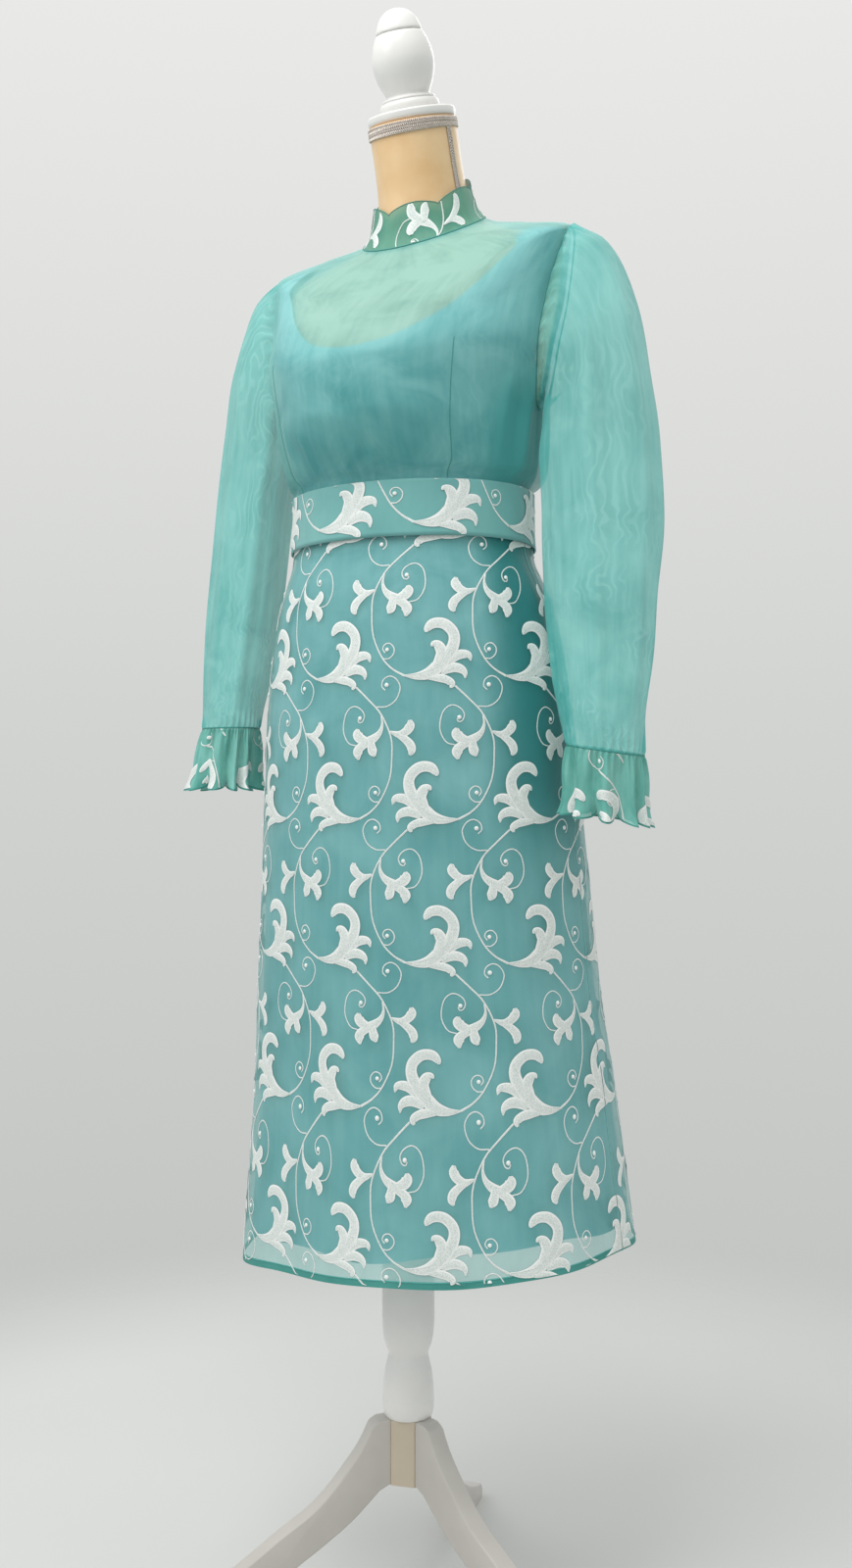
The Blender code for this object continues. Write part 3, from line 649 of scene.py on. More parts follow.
# Small puckers where the sleeve's fullness pulls at the armhole's seam
BODICE_CREASES += tuple(
    (side * (reach - 1.0), height, side * (reach - 5.5), height - 4, 1.6, 0.7)
    for side in (-1, 1)
    for reach, height in ((86, 1462), (84, 1454), (82, 1446), (81, 1437), (80, 1428), (79, 1418))
)
BODICE_ROWS = np.concatenate(
    (np.linspace(2.012, 4, 30), np.linspace(4, 7, 61)[1:], np.linspace(7, 9.5, 40)[1:])
)


def bodice_sheet(start, end):
    def place(u, v):
        t = np.interp(v, np.linspace(0, 1, len(BODICE_ROWS)), BODICE_ROWS)
        turn = between_seams(start, end, t, u)
        return body_point(t, turn, creases(BODICE_CREASES, turn, body_face(t, turn)[..., 2]))

    return place


for (name, start, end), across in zip(CUTS, (180, 66, 66)):
    place, down = bodice_sheet(start, end), len(BODICE_ROWS) - 1
    hang("bodice_" + name, "organza", place, across, down, bodice_organza, "form_torso")


# %% [markdown]
# ## Sleeves
# Each sleeve hangs from its armhole in rings that turn from upright to level.
# Small puckers at the cap and the wrist take up the extra width that is
# gathered into the seams, and long soft folds hang between them.

# %% Sleeves
Cuff = namedtuple("Cuff", "x y z tip long_half short_half turn")
LEFT_SLEEVE = np.array(
    (
        (0.1660, 0.0200, 1.3830, 90, 0.0930, 0.0330, 0),
        (0.1850, 0.0200, 1.3760, 72, 0.0880, 0.0410, 4),
        (0.2085, 0.0210, 1.3400, 46, 0.0640, 0.0470, 12),
        (0.2140, 0.0230, 1.2870, 24, 0.0590, 0.0440, 22),
        (0.2175, 0.0245, 1.2350, 8, 0.0620, 0.0400, 30),
        (0.2215, 0.0240, 1.1650, 0, 0.0620, 0.0390, 30),
        (0.2215, 0.0180, 1.0950, 0, 0.0575, 0.0390, 30),
        (0.2240, 0.0130, 1.0300, 0, 0.0525, 0.0370, 30),
        (0.2270, 0.0045, 0.9700, 0, 0.0440, 0.0340, 30),
        (0.2300, -0.0005, 0.9290, -9, 0.0395, 0.0310, 30),
    )
)
RIGHT_SLEEVE = np.array(
    (
        (0.1660, 0.0200, 1.3830, 90, 0.0930, 0.0330, 0),
        (0.1795, 0.0200, 1.3760, 72, 0.0880, 0.0400, 4),
        (0.1970, 0.0210, 1.3400, 46, 0.0620, 0.0450, 12),
        (0.2080, 0.0230, 1.2900, 24, 0.0580, 0.0425, 22),
        (0.2205, 0.0245, 1.2390, 8, 0.0600, 0.0400, 30),
        (0.2290, 0.0230, 1.1700, 0, 0.0600, 0.0390, 30),
        (0.2344, 0.0180, 1.0950, 0, 0.0570, 0.0390, 30),
        (0.2360, 0.0100, 1.0400, 0, 0.0520, 0.0360, 30),
        (0.2365, 0.0030, 0.9930, 0, 0.0450, 0.0330, 30),
        (0.2350, -0.0020, 0.9610, 0, 0.0400, 0.0310, 30),
    )
)
# Long folds as waves round the sleeve: how many, depth in metres, start in degrees
SLEEVE_WAVES = ((3, 0.0022, 40), (5, 0.0016, 10), (9, 0.0009, 75), (14, 0.0005, 0))
# Depth of the puckers at cap and wrist, and how far the cap's fullness rises
SLEEVE_PUCKERS, CAP_PUCKER, WRIST_PUCKER, CAP_RISE = 30, 0.0026, 0.0014, 0.0035


def armhole_point(angle):
    """Point on the armhole's edge, angle from the shoulder round to the back."""
    place = (1.0 - np.abs(angle % 360.0 / 180.0 - 1.0)) * (len(ARMHOLE_EDGE) - 1)
    steps = np.arange(len(ARMHOLE_EDGE))
    ring, before, behind = (np.interp(place, steps, column) for column in ARMHOLE_EDGE.T)
    return body_point(ring, 90.0 + np.where(angle % 360.0 < 180.0, behind, -before), 0.0)


def cuff_ring(row, angle):
    """Points of a left sleeve's ring, angle from outside towards the back."""
    row = Cuff(*np.moveaxis(row, -1, 0))
    tip, turn = np.radians(row.tip), np.radians(row.turn)
    swing = np.radians(angle) - turn
    long_part, short_part = row.long_half * np.cos(swing), row.short_half * np.sin(swing)
    outward = long_part * np.cos(turn) - short_part * np.sin(turn)
    backward = long_part * np.sin(turn) + short_part * np.cos(turn)
    return np.stack((row.x + np.cos(tip) * outward, row.y + backward, row.z + np.sin(tip) * outward), -1)


def sleeve_point(table, t, angle, phase):
    drawn_in = np.clip(1 - t, 0, 1)[..., None] ** 2
    pull = armhole_point(angle) - cuff_ring(along(table, 0 * t), angle)
    points = cuff_ring(along(table, t), angle) + pull * drawn_in
    last = len(table) - 1
    middle = np.clip(t / 2.5, 0, 1) * np.clip((last - t) / 1.5, 0, 1)
    out = sum(
        depth * middle * cos_of(count * (angle + start + phase))
        for count, depth, start in SLEEVE_WAVES
    )
    near_cap = np.exp(-((t / 0.6) ** 2)) * np.clip(t / 0.12, 0, 1)
    near_wrist = np.exp(-(((last - t) / 0.5) ** 2)) * np.clip((last - t) / 0.08, 0, 1)
    top = 0.35 + 0.65 * np.exp(-((((angle + 180) % 360 - 180) / 75) ** 2))
    ease = cos_of(SLEEVE_PUCKERS * angle + 50 * sin_of(3 * angle))
    out = out + near_cap * (CAP_PUCKER * top * ease + CAP_RISE * top * np.clip(1 - t / 0.9, 0, 1))
    out = out + WRIST_PUCKER * near_wrist * cos_of(SLEEVE_PUCKERS * angle + 60 * sin_of(2 * angle))
    centre = along(table, t)[..., :3]
    return points + unit(points - centre) * out[..., None]


def sleeve_sheet(table, side, phase):
    last = len(table) - 1

    def place(u, v):
        t = last * np.where(v < 0.4, 1.35 * v, 0.54 + (v - 0.4) * 0.46 / 0.6)
        points = sleeve_point(table, t, side * (360.0 * u - 180.0), phase)
        return points * (side, 1, 1)

    return place


for name, table, side, phase in (("left", LEFT_SLEEVE, 1, 0), ("right", RIGHT_SLEEVE, -1, 50)):
    place = sleeve_sheet(table, side, phase)
    hang("sleeve_" + name, "organza", place, 240, 150, organza, "bodice_front", closed=True)


# %% [markdown]
# ## Cuff ruffles
# A doubled, embroidered frill is gathered to the wrist. It waves eleven times
# round the arm and its edge is cut in scallops.

# %% Ruffles
RUFFLE_DROP, RUFFLE_WAVES, SCALLOP_DEPTH = 0.072, 11, 0.010
# How far the waves, the fine gathers, the waves' tops and the curled edge stand out
WAVE_DEPTH, FINE_DEPTH, TOP_DEPTH, CURL_DEPTH = 0.0062, 0.0014, 0.0022, 0.0034

# Edges and seams show a line of thread closer in tone to the doubled cloth
edging = woven(
    "silk thread, overlocked", "#34857d", "#4d9b93", 1.6, 0.4, Roughness=0.55, Specular_IOR_Level=0.3
)


def ruffle_sheet(table, side, flare, swing):
    wrist = Cuff(*table[-1])

    def place(u, v, lift=0.0):
        angle = side * (360.0 * u - 180.0)
        uneven = angle + 7 * sin_of(3 * angle + 40) + 4 * sin_of(5 * angle)
        wave = cos_of(RUFFLE_WAVES * uneven)
        scallop = np.abs(cos_of(RUFFLE_WAVES / 2 * uneven)) ** 0.55
        fine = cos_of(4 * RUFFLE_WAVES * uneven + 60 * sin_of(2 * angle))
        gather = FINE_DEPTH * fine * np.clip(1 - 1.7 * v, 0, 1)
        gather = gather + TOP_DEPTH * wave * np.sin(np.pi * np.clip(1.6 * v, 0, 1))
        curl = CURL_DEPTH * np.clip((v - 0.78) / 0.22, 0, 1) ** 2 * wave
        out = flare * v**1.3 + WAVE_DEPTH * v * wave + gather * np.clip(v / 0.04, 0, 1) + curl + lift
        height = wrist.z - GAP - v * (RUFFLE_DROP - 0.011 + SCALLOP_DEPTH * scallop)
        halves = wrist.long_half + out, wrist.short_half + out
        row = (wrist.x + swing * v, wrist.y, height, wrist.tip, *halves, wrist.turn)
        return cuff_ring(np.stack(np.broadcast_arrays(*row), -1), angle) * (side, 1, 1)

    return place


RUFFLES = {
    "left": ruffle_sheet(LEFT_SLEEVE, 1, 0.0015, 0.0000),
    "right": ruffle_sheet(RIGHT_SLEEVE, -1, 0.0070, 0.0080),
}
for name, place in RUFFLES.items():
    piece = cloth(f"ruffle_{name}_cloth", place, 396, 40, frill_organza, closed=True, hem=edging)
    wear(piece, "embroidered_organza", "ruffle_" + name)


# %% [markdown]
# ## Collar, belt and placket
# The stand collar is doubled organza with a scalloped top edge. The belt is
# stiff and stands proud of the waist. At centre back, out of sight, a plain
# lapped placket covers the opening.


# %% Collar, belt and placket
COLLAR_SCALLOPS, FIRST_SCALLOP = 6, 18  # how many, and where the first one's tip is
BELT_THICKNESS, BELT_STAND_OFF = 0.0016, 0.0040
PLACKET_HALF_WIDTH, PLACKET_LIFT = 0.012, 0.0012


def collar_point(turn, v, out=0.0):
    scallop = 0.15 * (1 - v) * np.abs(cos_of(COLLAR_SCALLOPS / 2 * (turn - FIRST_SCALLOP))) ** 0.7
    t = COLLAR_TOP + 0.10 * (1 - v) - scallop + (COLLAR_BASE - COLLAR_TOP) * v
    return body_point(t, turn, out)


def belt_point(turn, v, out=0.0):
    wrinkle = 0.0007 * sin_of(9 * turn + 40 * sin_of(5 * turn)) * np.sin(np.pi * v)
    return body_point(BELT_TOP + (BELT_BOTTOM - BELT_TOP) * v, turn, BELT_STAND_OFF + wrinkle + out)


def placket_point(u, v):
    t = np.interp(v, np.linspace(0, 1, len(BODICE_ROWS)), BODICE_ROWS)
    reach = np.degrees(PLACKET_HALF_WIDTH / ring_size(t, "half_width"))
    return body_point(t, 180.0 + reach * (2 * u - 1), PLACKET_LIFT)


def round_sheet(point):
    """A place function for a band round the dress, open at centre back."""
    return lambda u, v: point(359.6 * u - 179.8, v)


collar = cloth("collar_cloth", round_sheet(collar_point), 200, 14, double_organza)
wear(collar, "embroidered_organza", "collar")
belt = cloth("belt_cloth", round_sheet(belt_point), 200, 14, belt_cloth)
wear(belt, "embroidered_organza", "belt")
wall = belt.modifiers.new("folded belt", "SOLIDIFY")
wall.thickness, wall.offset = BELT_THICKNESS, -1
placket = cloth("placket_cloth", placket_point, 8, 120, organza)
wear(placket, "organza", "placket")

# %% [markdown]
# ## Seams and edges
# The seams show through the sheer cloth as fine darker lines: the two darts,
# the sides, the armholes, the gathered wrists and the collar's edges.

# %% Seams
ROUND = np.linspace(0.0, 360.0, 241)
# A dart leans a little on its way down: ring, and degrees from centre front
DART = np.array(
    ((5.8, 42.4), (6.2, 42.8), (7.0, 43.2), (7.7, 41.8), (8.3, 40.3), (8.7, 40.6), (8.98, 41.4))
)
darts = []
for side in (-1, 1):
    t = np.linspace(DART[0, 0], DART[-1, 0], 66)
    turn = side * np.interp(t, *DART.T)
    out = creases(BODICE_CREASES, turn, body_face(t, turn)[..., 2])
    darts.append((body_point(t, turn, out), 0.00045, 0.0004))
armholes = [(armhole_point(ROUND) * (side, 1, 1), 0.0010, 0.0008) for side in (-1, 1)]
seam("bodice_seams", edging, "organza", *darts, *armholes)
wrists = []
for side, table in ((1, LEFT_SLEEVE), (-1, RIGHT_SLEEVE)):
    line = cuff_ring(along(table, np.full(ROUND.shape, len(table) - 1.0)), ROUND)
    wrists.append((line * (side, 1, 1), 0.0009, 0.0007))
seam("wrist_seams", edging, "organza", *wrists)
turns = np.linspace(-179.8, 179.8, 241)
collar_edges = [(collar_point(turns, v, 0.0002), width, width) for v, width in ((0, 0.0004), (1, 0.0008))]
seam("collar_edges", edging, "organza", *collar_edges)
t = np.linspace(WAIST_SEAM + 0.05, HEM - 0.012, 120)
lines = [body_point(t, turn, skirt_out(t, turn, SKIRT_CREASES)) for turn in (-90.0, 90.0, 180.0)]
seam("skirt_seams", belt_cloth, "organza", *[(line, 0.0007, 0.0005) for line in lines])
STITCH_RING = HEM - 0.045
turns = np.linspace(-180.0, 180.0, 361)
line = body_point(STITCH_RING, turns, skirt_out(np.full(turns.shape, STITCH_RING), turns, SKIRT_CREASES))
line[:, 2] += hem_sway(turns)
seam("hem_stitching", organza, "organza", (line, 0.0005, 0.0006))

# %% [markdown]
# ## The embroidered skirt
# The outer skirt is the same sheer organza, worked all over with a white
# vine. The cloth comes first and the stitching is laid on it afterwards.

# %% Skirt cloth
skirt_pieces = {}
for (name, start, end), across in zip(CUTS, (130, 66, 66)):
    place = skirt_sheet(start, end, SKIRT_CREASES)
    piece = cloth("skirt_" + name + "_cloth", place, across, 130, skirt_organza, hem=edging)
    wear(piece, "embroidered_organza", "skirt_" + name)
    skirt_pieces[name] = piece


# %% [markdown]
# ## The vine in satin stitch
# The pattern is an acanthus vine, an old and common ornament: a leaf with
# five lobes, a floret with three, one with two, and tendrils that end in a
# round knot. One half repeat is charted in millimetres, as rows of
# x, y and width along each stroke. x runs to the wearer's left from the
# vine's middle, and y runs up from the foot of the leaf. The next half
# repeat below is the same one mirrored.

# %% Chart of the half repeat
REPEAT_WIDTH = 0.104
HALF_REPEAT = 0.1442
STEM = (
    (-24.3, 133.6, 2.0), (-38.8, 120.3, 1.8), (-52.5, 105.8, 1.7), (-63.0, 83.2, 1.6), (-64.1, 63.8, 1.5),
    (-61.7, 41.1, 1.5), (-51.7, 19.4, 1.6), (-40.4, 7.3, 1.8), (-27.4, 0.0, 2.4),
)
LEAF = (
    (
        (-27.4, 0.0, 1.7), (-14.5, -0.8, 7.4), (-1.6, 2.4, 12.6), (9.7, 12.1, 14.4), (18.6, 23.4, 13.2),
        (22.3, 34.5, 12.0), (20.6, 43.7, 11.5), (13.2, 51.0, 11.3), (5.6, 53.0, 11.0),
        (-1.2, 51.4, 10.3), (-5.4, 46.6, 6.9), (-6.4, 43.4, 2.3),
    ),
    (
        (0.0, 4.1, 3.4), (7.3, 13.7, 10.9), (10.1, 22.6, 11.7), (6.9, 29.6, 10.6), (1.9, 31.5, 6.9),
        (-0.6, 29.1, 1.4),
    ),
    (
        (15.0, 11.5, 8.0), (24.3, 19.4, 10.2), (32.3, 21.4, 9.2), (37.6, 19.9, 6.6), (39.6, 14.5, 1.1),
    ),
    (
        (9.5, 3.5, 8.0), (21.0, 7.6, 10.2), (29.0, 6.5, 9.2), (33.6, 2.4, 6.2), (34.2, -3.3, 1.1),
    ),
    (
        (-3.2, -2.1, 4.4), (8.1, -2.7, 8.4), (16.5, -4.9, 8.0), (21.0, -8.8, 7.4), (19.9, -12.9, 2.3),
    ),
)
VEINS = (
    ((-25.8, 0.3, 0.8), (-9.9, 2.4, 1.2), (4.1, 8.2, 1.3), (13.1, 17.3, 1.2), (18.9, 27.0, 0.6)),
)
FLORET = (
    (
        (-52.5, 104.5, 1.2), (-53.9, 95.5, 2.8), (-51.0, 87.3, 5.6), (-44.1, 81.2, 9.0),
        (-35.9, 77.5, 10.0),
    ),
    (
        (-38.0, 78.0, 7.8), (-29.4, 81.7, 11.0), (-26.1, 86.5, 11.0), (-26.5, 91.4, 3.4),
    ),
    (
        (-38.0, 77.5, 7.8), (-29.4, 72.3, 9.4), (-26.5, 66.9, 11.0), (-27.5, 59.9, 2.4),
    ),
    (
        (-41.7, 80.0, 7.1), (-42.2, 73.5, 9.4), (-43.8, 67.7, 10.0), (-46.0, 63.2, 2.2),
    ),
)
BUD = (
    (
        (-62.0, 88.2, 1.8), (-72.0, 85.0, 7.7), (-79.2, 88.2, 9.1), (-83.4, 94.0, 9.8),
        (-83.0, 99.6, 3.7),
    ),
    (
        (-70.2, 85.8, 6.3), (-78.4, 80.0, 8.2), (-83.7, 74.3, 9.5), (-84.7, 68.6, 8.4),
        (-82.6, 64.2, 2.3),
    ),
)
TENDRILS = (
    (
        (-25.3, 74.3), (-16.4, 76.8), (-10.6, 85.8), (-9.5, 95.5), (-12.2, 107), (-18, 113.2),
        (-24.5, 114), (-31, 110.2), (-34, 104.5), (-31.9, 98.8), (-28.1, 97.7), (-26.5, 100.8),
    ),
    (
        (-47.8, 113.2), (-58.8, 113.5), (-68.6, 120.3), (-72.7, 132.3), (-68.3, 141), (-61.3, 144),
        (-54.7, 140.5), (-53.1, 133.9), (-56.8, 129.8),
    ),
    (
        (-49.9, 17.5), (-44.1, 17.5), (-39.2, 22), (-38.8, 28.2), (-43.3, 32.9), (-48.6, 31.9),
        (-50.7, 27.3), (-48.1, 23.4),
    ),
)
KNOTS = ((-28.9, 102.0, 2.2), (-58.4, 135.1, 2.3), (-46.0, 26.6, 2.1))
print("strokes in a half repeat:", 1 + len(LEAF + VEINS + FLORET + BUD + TENDRILS + KNOTS))


# %% [markdown]
# A stroke is a narrow grid bent along its curve: threads run across it and
# its middle is padded higher than its edges, as satin stitch is. A knot is a
# small dome.

# %% Strokes and knots
def smooth_curve(points, count):
    """count points on a smooth curve through the charted ones."""
    points = np.array(points, float)
    ends = np.vstack((2 * points[0] - points[1], points, 2 * points[-1] - points[-2]))
    t = np.linspace(0, len(points) - 1, count)
    first = np.minimum(t.astype(int), len(points) - 2)
    s = (t - first)[:, None]
    p0, p1, p2, p3 = (ends[first + k] for k in range(4))
    return 0.5 * (
        2 * p1 + (p2 - p0) * s + (2 * p0 - 5 * p1 + 4 * p2 - p3) * s**2 + (3 * p1 - p0 - 3 * p2 + p3) * s**3
    )


def set_uv(bm, verts, uv_of):
    """Sets the thread UV of all the faces round the verts."""
    layer = bm.loops.layers.uv.verify()
    for face in {face for vert in verts for face in vert.link_faces}:
        for loop in face.loops:
            loop[layer].uv = uv_of(loop.vert)


def stroke(bm, rows, across, height, base):
    """Padded satin stitch along rows of x, y and width, in millimetres."""
    line = smooth_curve(rows, 3 * len(rows) + 1)
    middle, width = line[:, :2], np.maximum(line[:, 2], 0.5)
    way = unit(np.gradient(middle, axis=0))
    left = np.stack((-way[:, 1], way[:, 0]), -1)
    run = np.concatenate(([0], np.cumsum(np.linalg.norm(np.diff(middle, axis=0), axis=1))))
    down = len(line) - 1
    made = bmesh.ops.create_grid(bm, x_segments=across, y_segments=down, size=1.0)
    where = {}
    for vert in made["verts"]:
        share, row = vert.co.x, round((vert.co.y + 1) / 2 * down)
        x, y = middle[row] - left[row] * share * width[row] / 2
        where[vert] = ((share + 1) / 2, run[row] / 1000)
        vert.co = (x, y, base + height * (1 - share**2))
    set_uv(bm, made["verts"], where.get)


def knot(bm, x, y, radius):
    """A round raised dot of thread."""
    made = bmesh.ops.create_uvsphere(bm, u_segments=10, v_segments=6, radius=radius)
    bmesh.ops.scale(bm, verts=made["verts"], vec=(1, 1, 0.45))
    bmesh.ops.translate(bm, verts=made["verts"], vec=(x, y, 0.3))
    set_uv(bm, made["verts"], lambda vert: (0.12, 0.0))


def motif(*parts):
    """A flat mesh of the named parts of the chart."""
    bm = bmesh.new()
    bm.loops.layers.uv.new("thread")
    if "stem" in parts:
        stroke(bm, STEM, 2, 0.45, 0.15)
    if "leaf" in parts:
        for number, rows in enumerate(LEAF):
            stroke(bm, rows, 6, 0.5, 0.15 + 0.1 * ((number + 3) % 5))
        for rows in VEINS:
            stroke(bm, rows, 2, 0.4, 0.85)
    for name, lobes in (("floret", FLORET), ("bud", BUD)):
        if name in parts:
            for number, rows in enumerate(lobes):
                stroke(bm, rows, 4, 0.45, 0.15 + 0.1 * number)
    if "tendrils" in parts:
        for rows in TENDRILS:
            stroke(bm, [(x, y, 1.25) for x, y in rows], 2, 0.35, 0.15)
        for x, y, radius in KNOTS:
            knot(bm, x, y, radius)
    mesh = bpy.data.meshes.new("motif")
    bm.to_mesh(mesh)
    bm.free()
    return mesh


VINE = motif("stem", "leaf", "floret", "bud", "tendrils")
print("half repeat:", len(VINE.polygons), "faces")


# %% [markdown]
# A Placement lays the chart flat on the cloth, turned or mirrored, and a
# place function bends the flat sheet of stitching round the dress. What
# passes a seam or an edge is cut off there.

# %% Laying the stitching on the cloth
Placement = namedtuple("Placement", "mesh x y mirror turn scale")


def lay(name, placements, place, limits, material):
    """Joined stitching. place(x, y, out) bends flat metres onto the cloth and
    limits(x, y) gives the leftmost and rightmost x, and the lowest and highest y."""
    bm = bmesh.new()
    bm.loops.layers.uv.new("thread")
    for item in placements:
        before = len(bm.verts)
        bm.from_mesh(item.mesh)
        bm.verts.ensure_lookup_table()
        new = bm.verts[before:]
        size = item.scale / 1000
        move = Matrix.Translation((item.x, item.y, 0)) @ Matrix.Rotation(math.radians(item.turn), 4, "Z")
        move @= Matrix.Diagonal((size * item.mirror, size, 0.001, 1))
        bmesh.ops.transform(bm, matrix=move, verts=new)
        if item.mirror < 0:
            bmesh.ops.reverse_faces(bm, faces=list({face for vert in new for face in vert.link_faces}))
    flat = np.array([vert.co for vert in bm.verts])
    left, right, low, high = limits(flat[:, 0], flat[:, 1])
    x, y = np.clip(flat[:, 0], left, right), np.clip(flat[:, 1], low, high)
    cut = (x != flat[:, 0]) | (y != flat[:, 1])
    points = place(x, y, flat[:, 2]) + AXIS
    for vert, point in zip(bm.verts, points):
        vert.co = point
    lost = [face for face in bm.faces if all(cut[vert.index] for vert in face.verts)]
    bmesh.ops.delete(bm, geom=lost, context="FACES")
    piece = link_piece(name, bm, material)
    wear(piece, "embroidered_organza")
    print(f"{name}: {len(piece.data.polygons)} faces")
    return piece


# Rayon embroidery thread in satin stitch: stippled inside, brighter towards
# its rims, with a fine shadow along the very edge
thread, tree, shader = finish(
    "rayon thread, satin stitched", Roughness=0.5, Sheen_Weight=0.15, Specular_IOR_Level=0.4
)
uv = add(tree, "UVMap", uv_map="thread").outputs["UV"]
across = add(tree, "SeparateXYZ", {"Vector": uv}).outputs["X"]
edge = maths(tree, "ABSOLUTE", maths(tree, "SUBTRACT", across, 0.5))
place = add(tree, "TexCoord").outputs["Object"]
stipple = span(tree, noise(tree, place, 900.0, 2.0, Roughness=0.7), 0.4, 0.58)
tone = blend(tree, stipple, "#c6d3d0", "#e9edea")
tone = blend(tree, span(tree, edge, 0.26, 0.44), tone, "#f4f6f4")
tone = blend(tree, span(tree, edge, 0.455, 0.49), tone, "#a3bab7")
lines = add(tree, "TexWave", {"Vector": uv, "Scale": THREAD_BANDS}, bands_direction="Y")
cover(tree, shader, tone, lines, 0.4, 0.0003)

# %% [markdown]
# On the skirt, flat distance round the dress has to be found at each height.
# A table of levels does that: the skirt's outline is measured every few
# millimetres, and the stitching looks its place up in it.

# %% Skirt levels
LEVEL_STEP, TURN_STEP = 0.004, 1.5
LEVELS = np.arange(0.360, 1.160, LEVEL_STEP)
TURNS = np.arange(-180.0, 180.01, TURN_STEP)
rows_t = np.linspace(WAIST_SEAM, HEM, 260)[:, None]
heights = body_face(rows_t, TURNS[None, :])[..., 2]
ring_at = np.stack([np.interp(-LEVELS, -heights[:, j], rows_t[:, 0]) for j in range(len(TURNS))], 1)
level_points = body_face(ring_at, TURNS[None, :])
steps = np.linalg.norm(np.diff(level_points[..., :2], axis=1), axis=2)
girth = np.concatenate((np.zeros((len(LEVELS), 1)), np.cumsum(steps, axis=1)), 1)
girth -= girth[:, [len(TURNS) // 2]]


def at_level(z):
    """The level below height z, and the share of the way to the next."""
    place = np.clip((z - LEVELS[0]) / LEVEL_STEP, 0, len(LEVELS) - 1.001)
    return place.astype(int), place - place.astype(int)


def turn_at(x, z):
    """Turn at the flat distance x from centre front, at height z."""
    first, share = at_level(z)
    found = np.zeros((2, len(x)))
    for row in (0, 1):
        for level in np.unique(first):
            chosen = first == level
            found[row, chosen] = np.interp(x[chosen], girth[level + row], TURNS)
    return found[0] * (1 - share) + found[1] * share


def girth_at(turn, z):
    """Flat distance from centre front to a turn, at height z."""
    first, share = at_level(z)
    column = np.argmin(np.abs(TURNS - turn))
    return girth[first, column] * (1 - share) + girth[first + 1, column] * share


# Stitching lies this far off its cloth, and the lowest row hangs this much lower
THREAD_LIFT, LOWEST_ROW_DROP = 0.00015, 0.015


def spaced(z):
    """Height on the skirt of chart height z: the lowest row hangs lower."""
    share = np.clip((0.600 - z) / 0.110, 0, 1)
    return z - LOWEST_ROW_DROP * share**2 * (3 - 2 * share)


def skirt_place(x, z, out):
    """Points on the skirt, x metres round it from centre front at chart height z."""
    z = spaced(z)
    turn = turn_at(x, z)
    column = np.clip((turn + 180) / TURN_STEP, 0, len(TURNS) - 1.001).astype(int)
    t = ring_at[at_level(z)[0], column]
    for _ in range(4):
        error = z - body_face(t, turn)[..., 2]
        slope = body_face(t + 0.01, turn)[..., 2] - body_face(t - 0.01, turn)[..., 2]
        t = np.clip(t + 0.02 * error / np.minimum(slope, -1e-6), WAIST_SEAM, HEM - 0.011)
    return body_point(t, turn, skirt_out(t, turn, SKIRT_CREASES) + THREAD_LIFT + out)


FIRST_ROW, COLUMN_SHIFT = 1.0035, 0.085


def vine_columns(low_column, high_column):
    """Half repeats down the skirt, in columns counted from centre front."""
    out = []
    for column in range(low_column, high_column + 1):
        x = COLUMN_SHIFT + REPEAT_WIDTH * column
        for row in range(-1, 6):
            out.append(Placement(VINE, x, FIRST_ROW - HALF_REPEAT * row, (1, -1)[row % 2], 0, 1))
    return out


# The hem lies between the levels, so it is measured by itself
HEM_LINE = body_face(HEM, TURNS)[..., 2] + hem_sway(TURNS)
HEM_LEVEL, SEAM_MARGIN = 10, 0.0006


def skirt_limits(start, end):
    def limits(x, z):
        hem = np.interp(x, girth[HEM_LEVEL], HEM_LINE) + 0.0015 + LOWEST_ROW_DROP
        z = spaced(z)
        return girth_at(start, z) + SEAM_MARGIN, girth_at(end, z) - SEAM_MARGIN, hem, 1.150

    return limits


VINE_CUTS = (("front", -5, 4, -90, 90), ("back_left", 0, 8, 90, 180), ("back_right", -9, -1, -180, -90))
for name, first, last, start, end in VINE_CUTS:
    vines, limits = vine_columns(first, last), skirt_limits(start, end)
    lay("vine_skirt_" + name, vines, skirt_place, limits, thread)
for name, piece in skirt_pieces.items():
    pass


# %% [markdown]
# The belt is cut along the vine's leaves. Collar and cuffs are cut from what
# was left, so single florets and leaves lie where the scallops take them.

# %% Stitching on belt, collar and cuffs
def band(point, radius, height, half_length):
    """Place function and limits of a band round the dress, laid out flat."""

    def place(x, y, out):
        return point(np.degrees(x / radius), 1 - y / height, THREAD_LIFT + out)

    return place, lambda x, y: (-half_length, half_length, 0.001, height - 0.001)


belt_vines = [
    Placement(VINE, COLUMN_SHIFT - 0.001 + REPEAT_WIDTH * k, 0.012 + HALF_REPEAT * row, 1 - 2 * row, 0, 1)
    for k in range(-5, 5)
    for row in (0, 1)
]
belt_vine = lay("vine_belt", belt_vines, *band(belt_point, 0.1245, 0.058, 0.389), thread)

collar_vines = [Placement(VINE, -0.0085 + REPEAT_WIDTH * k, 0.104, 1, 180, 1) for k in range(-3, 4)]
collar_vine = lay("vine_collar", collar_vines, *band(collar_point, 0.0615, 0.042, 0.19), thread)

TENDRIL, LEAF_TIP = motif("stem", "tendrils"), motif("leaf")
CUFF_LENGTH, CUFF_HEIGHT, CUFF_REPEAT = 0.330, 0.070, 0.110


def cuff_limits(x, y):
    return -CUFF_LENGTH / 2, CUFF_LENGTH / 2, 0.002, CUFF_HEIGHT - 0.001


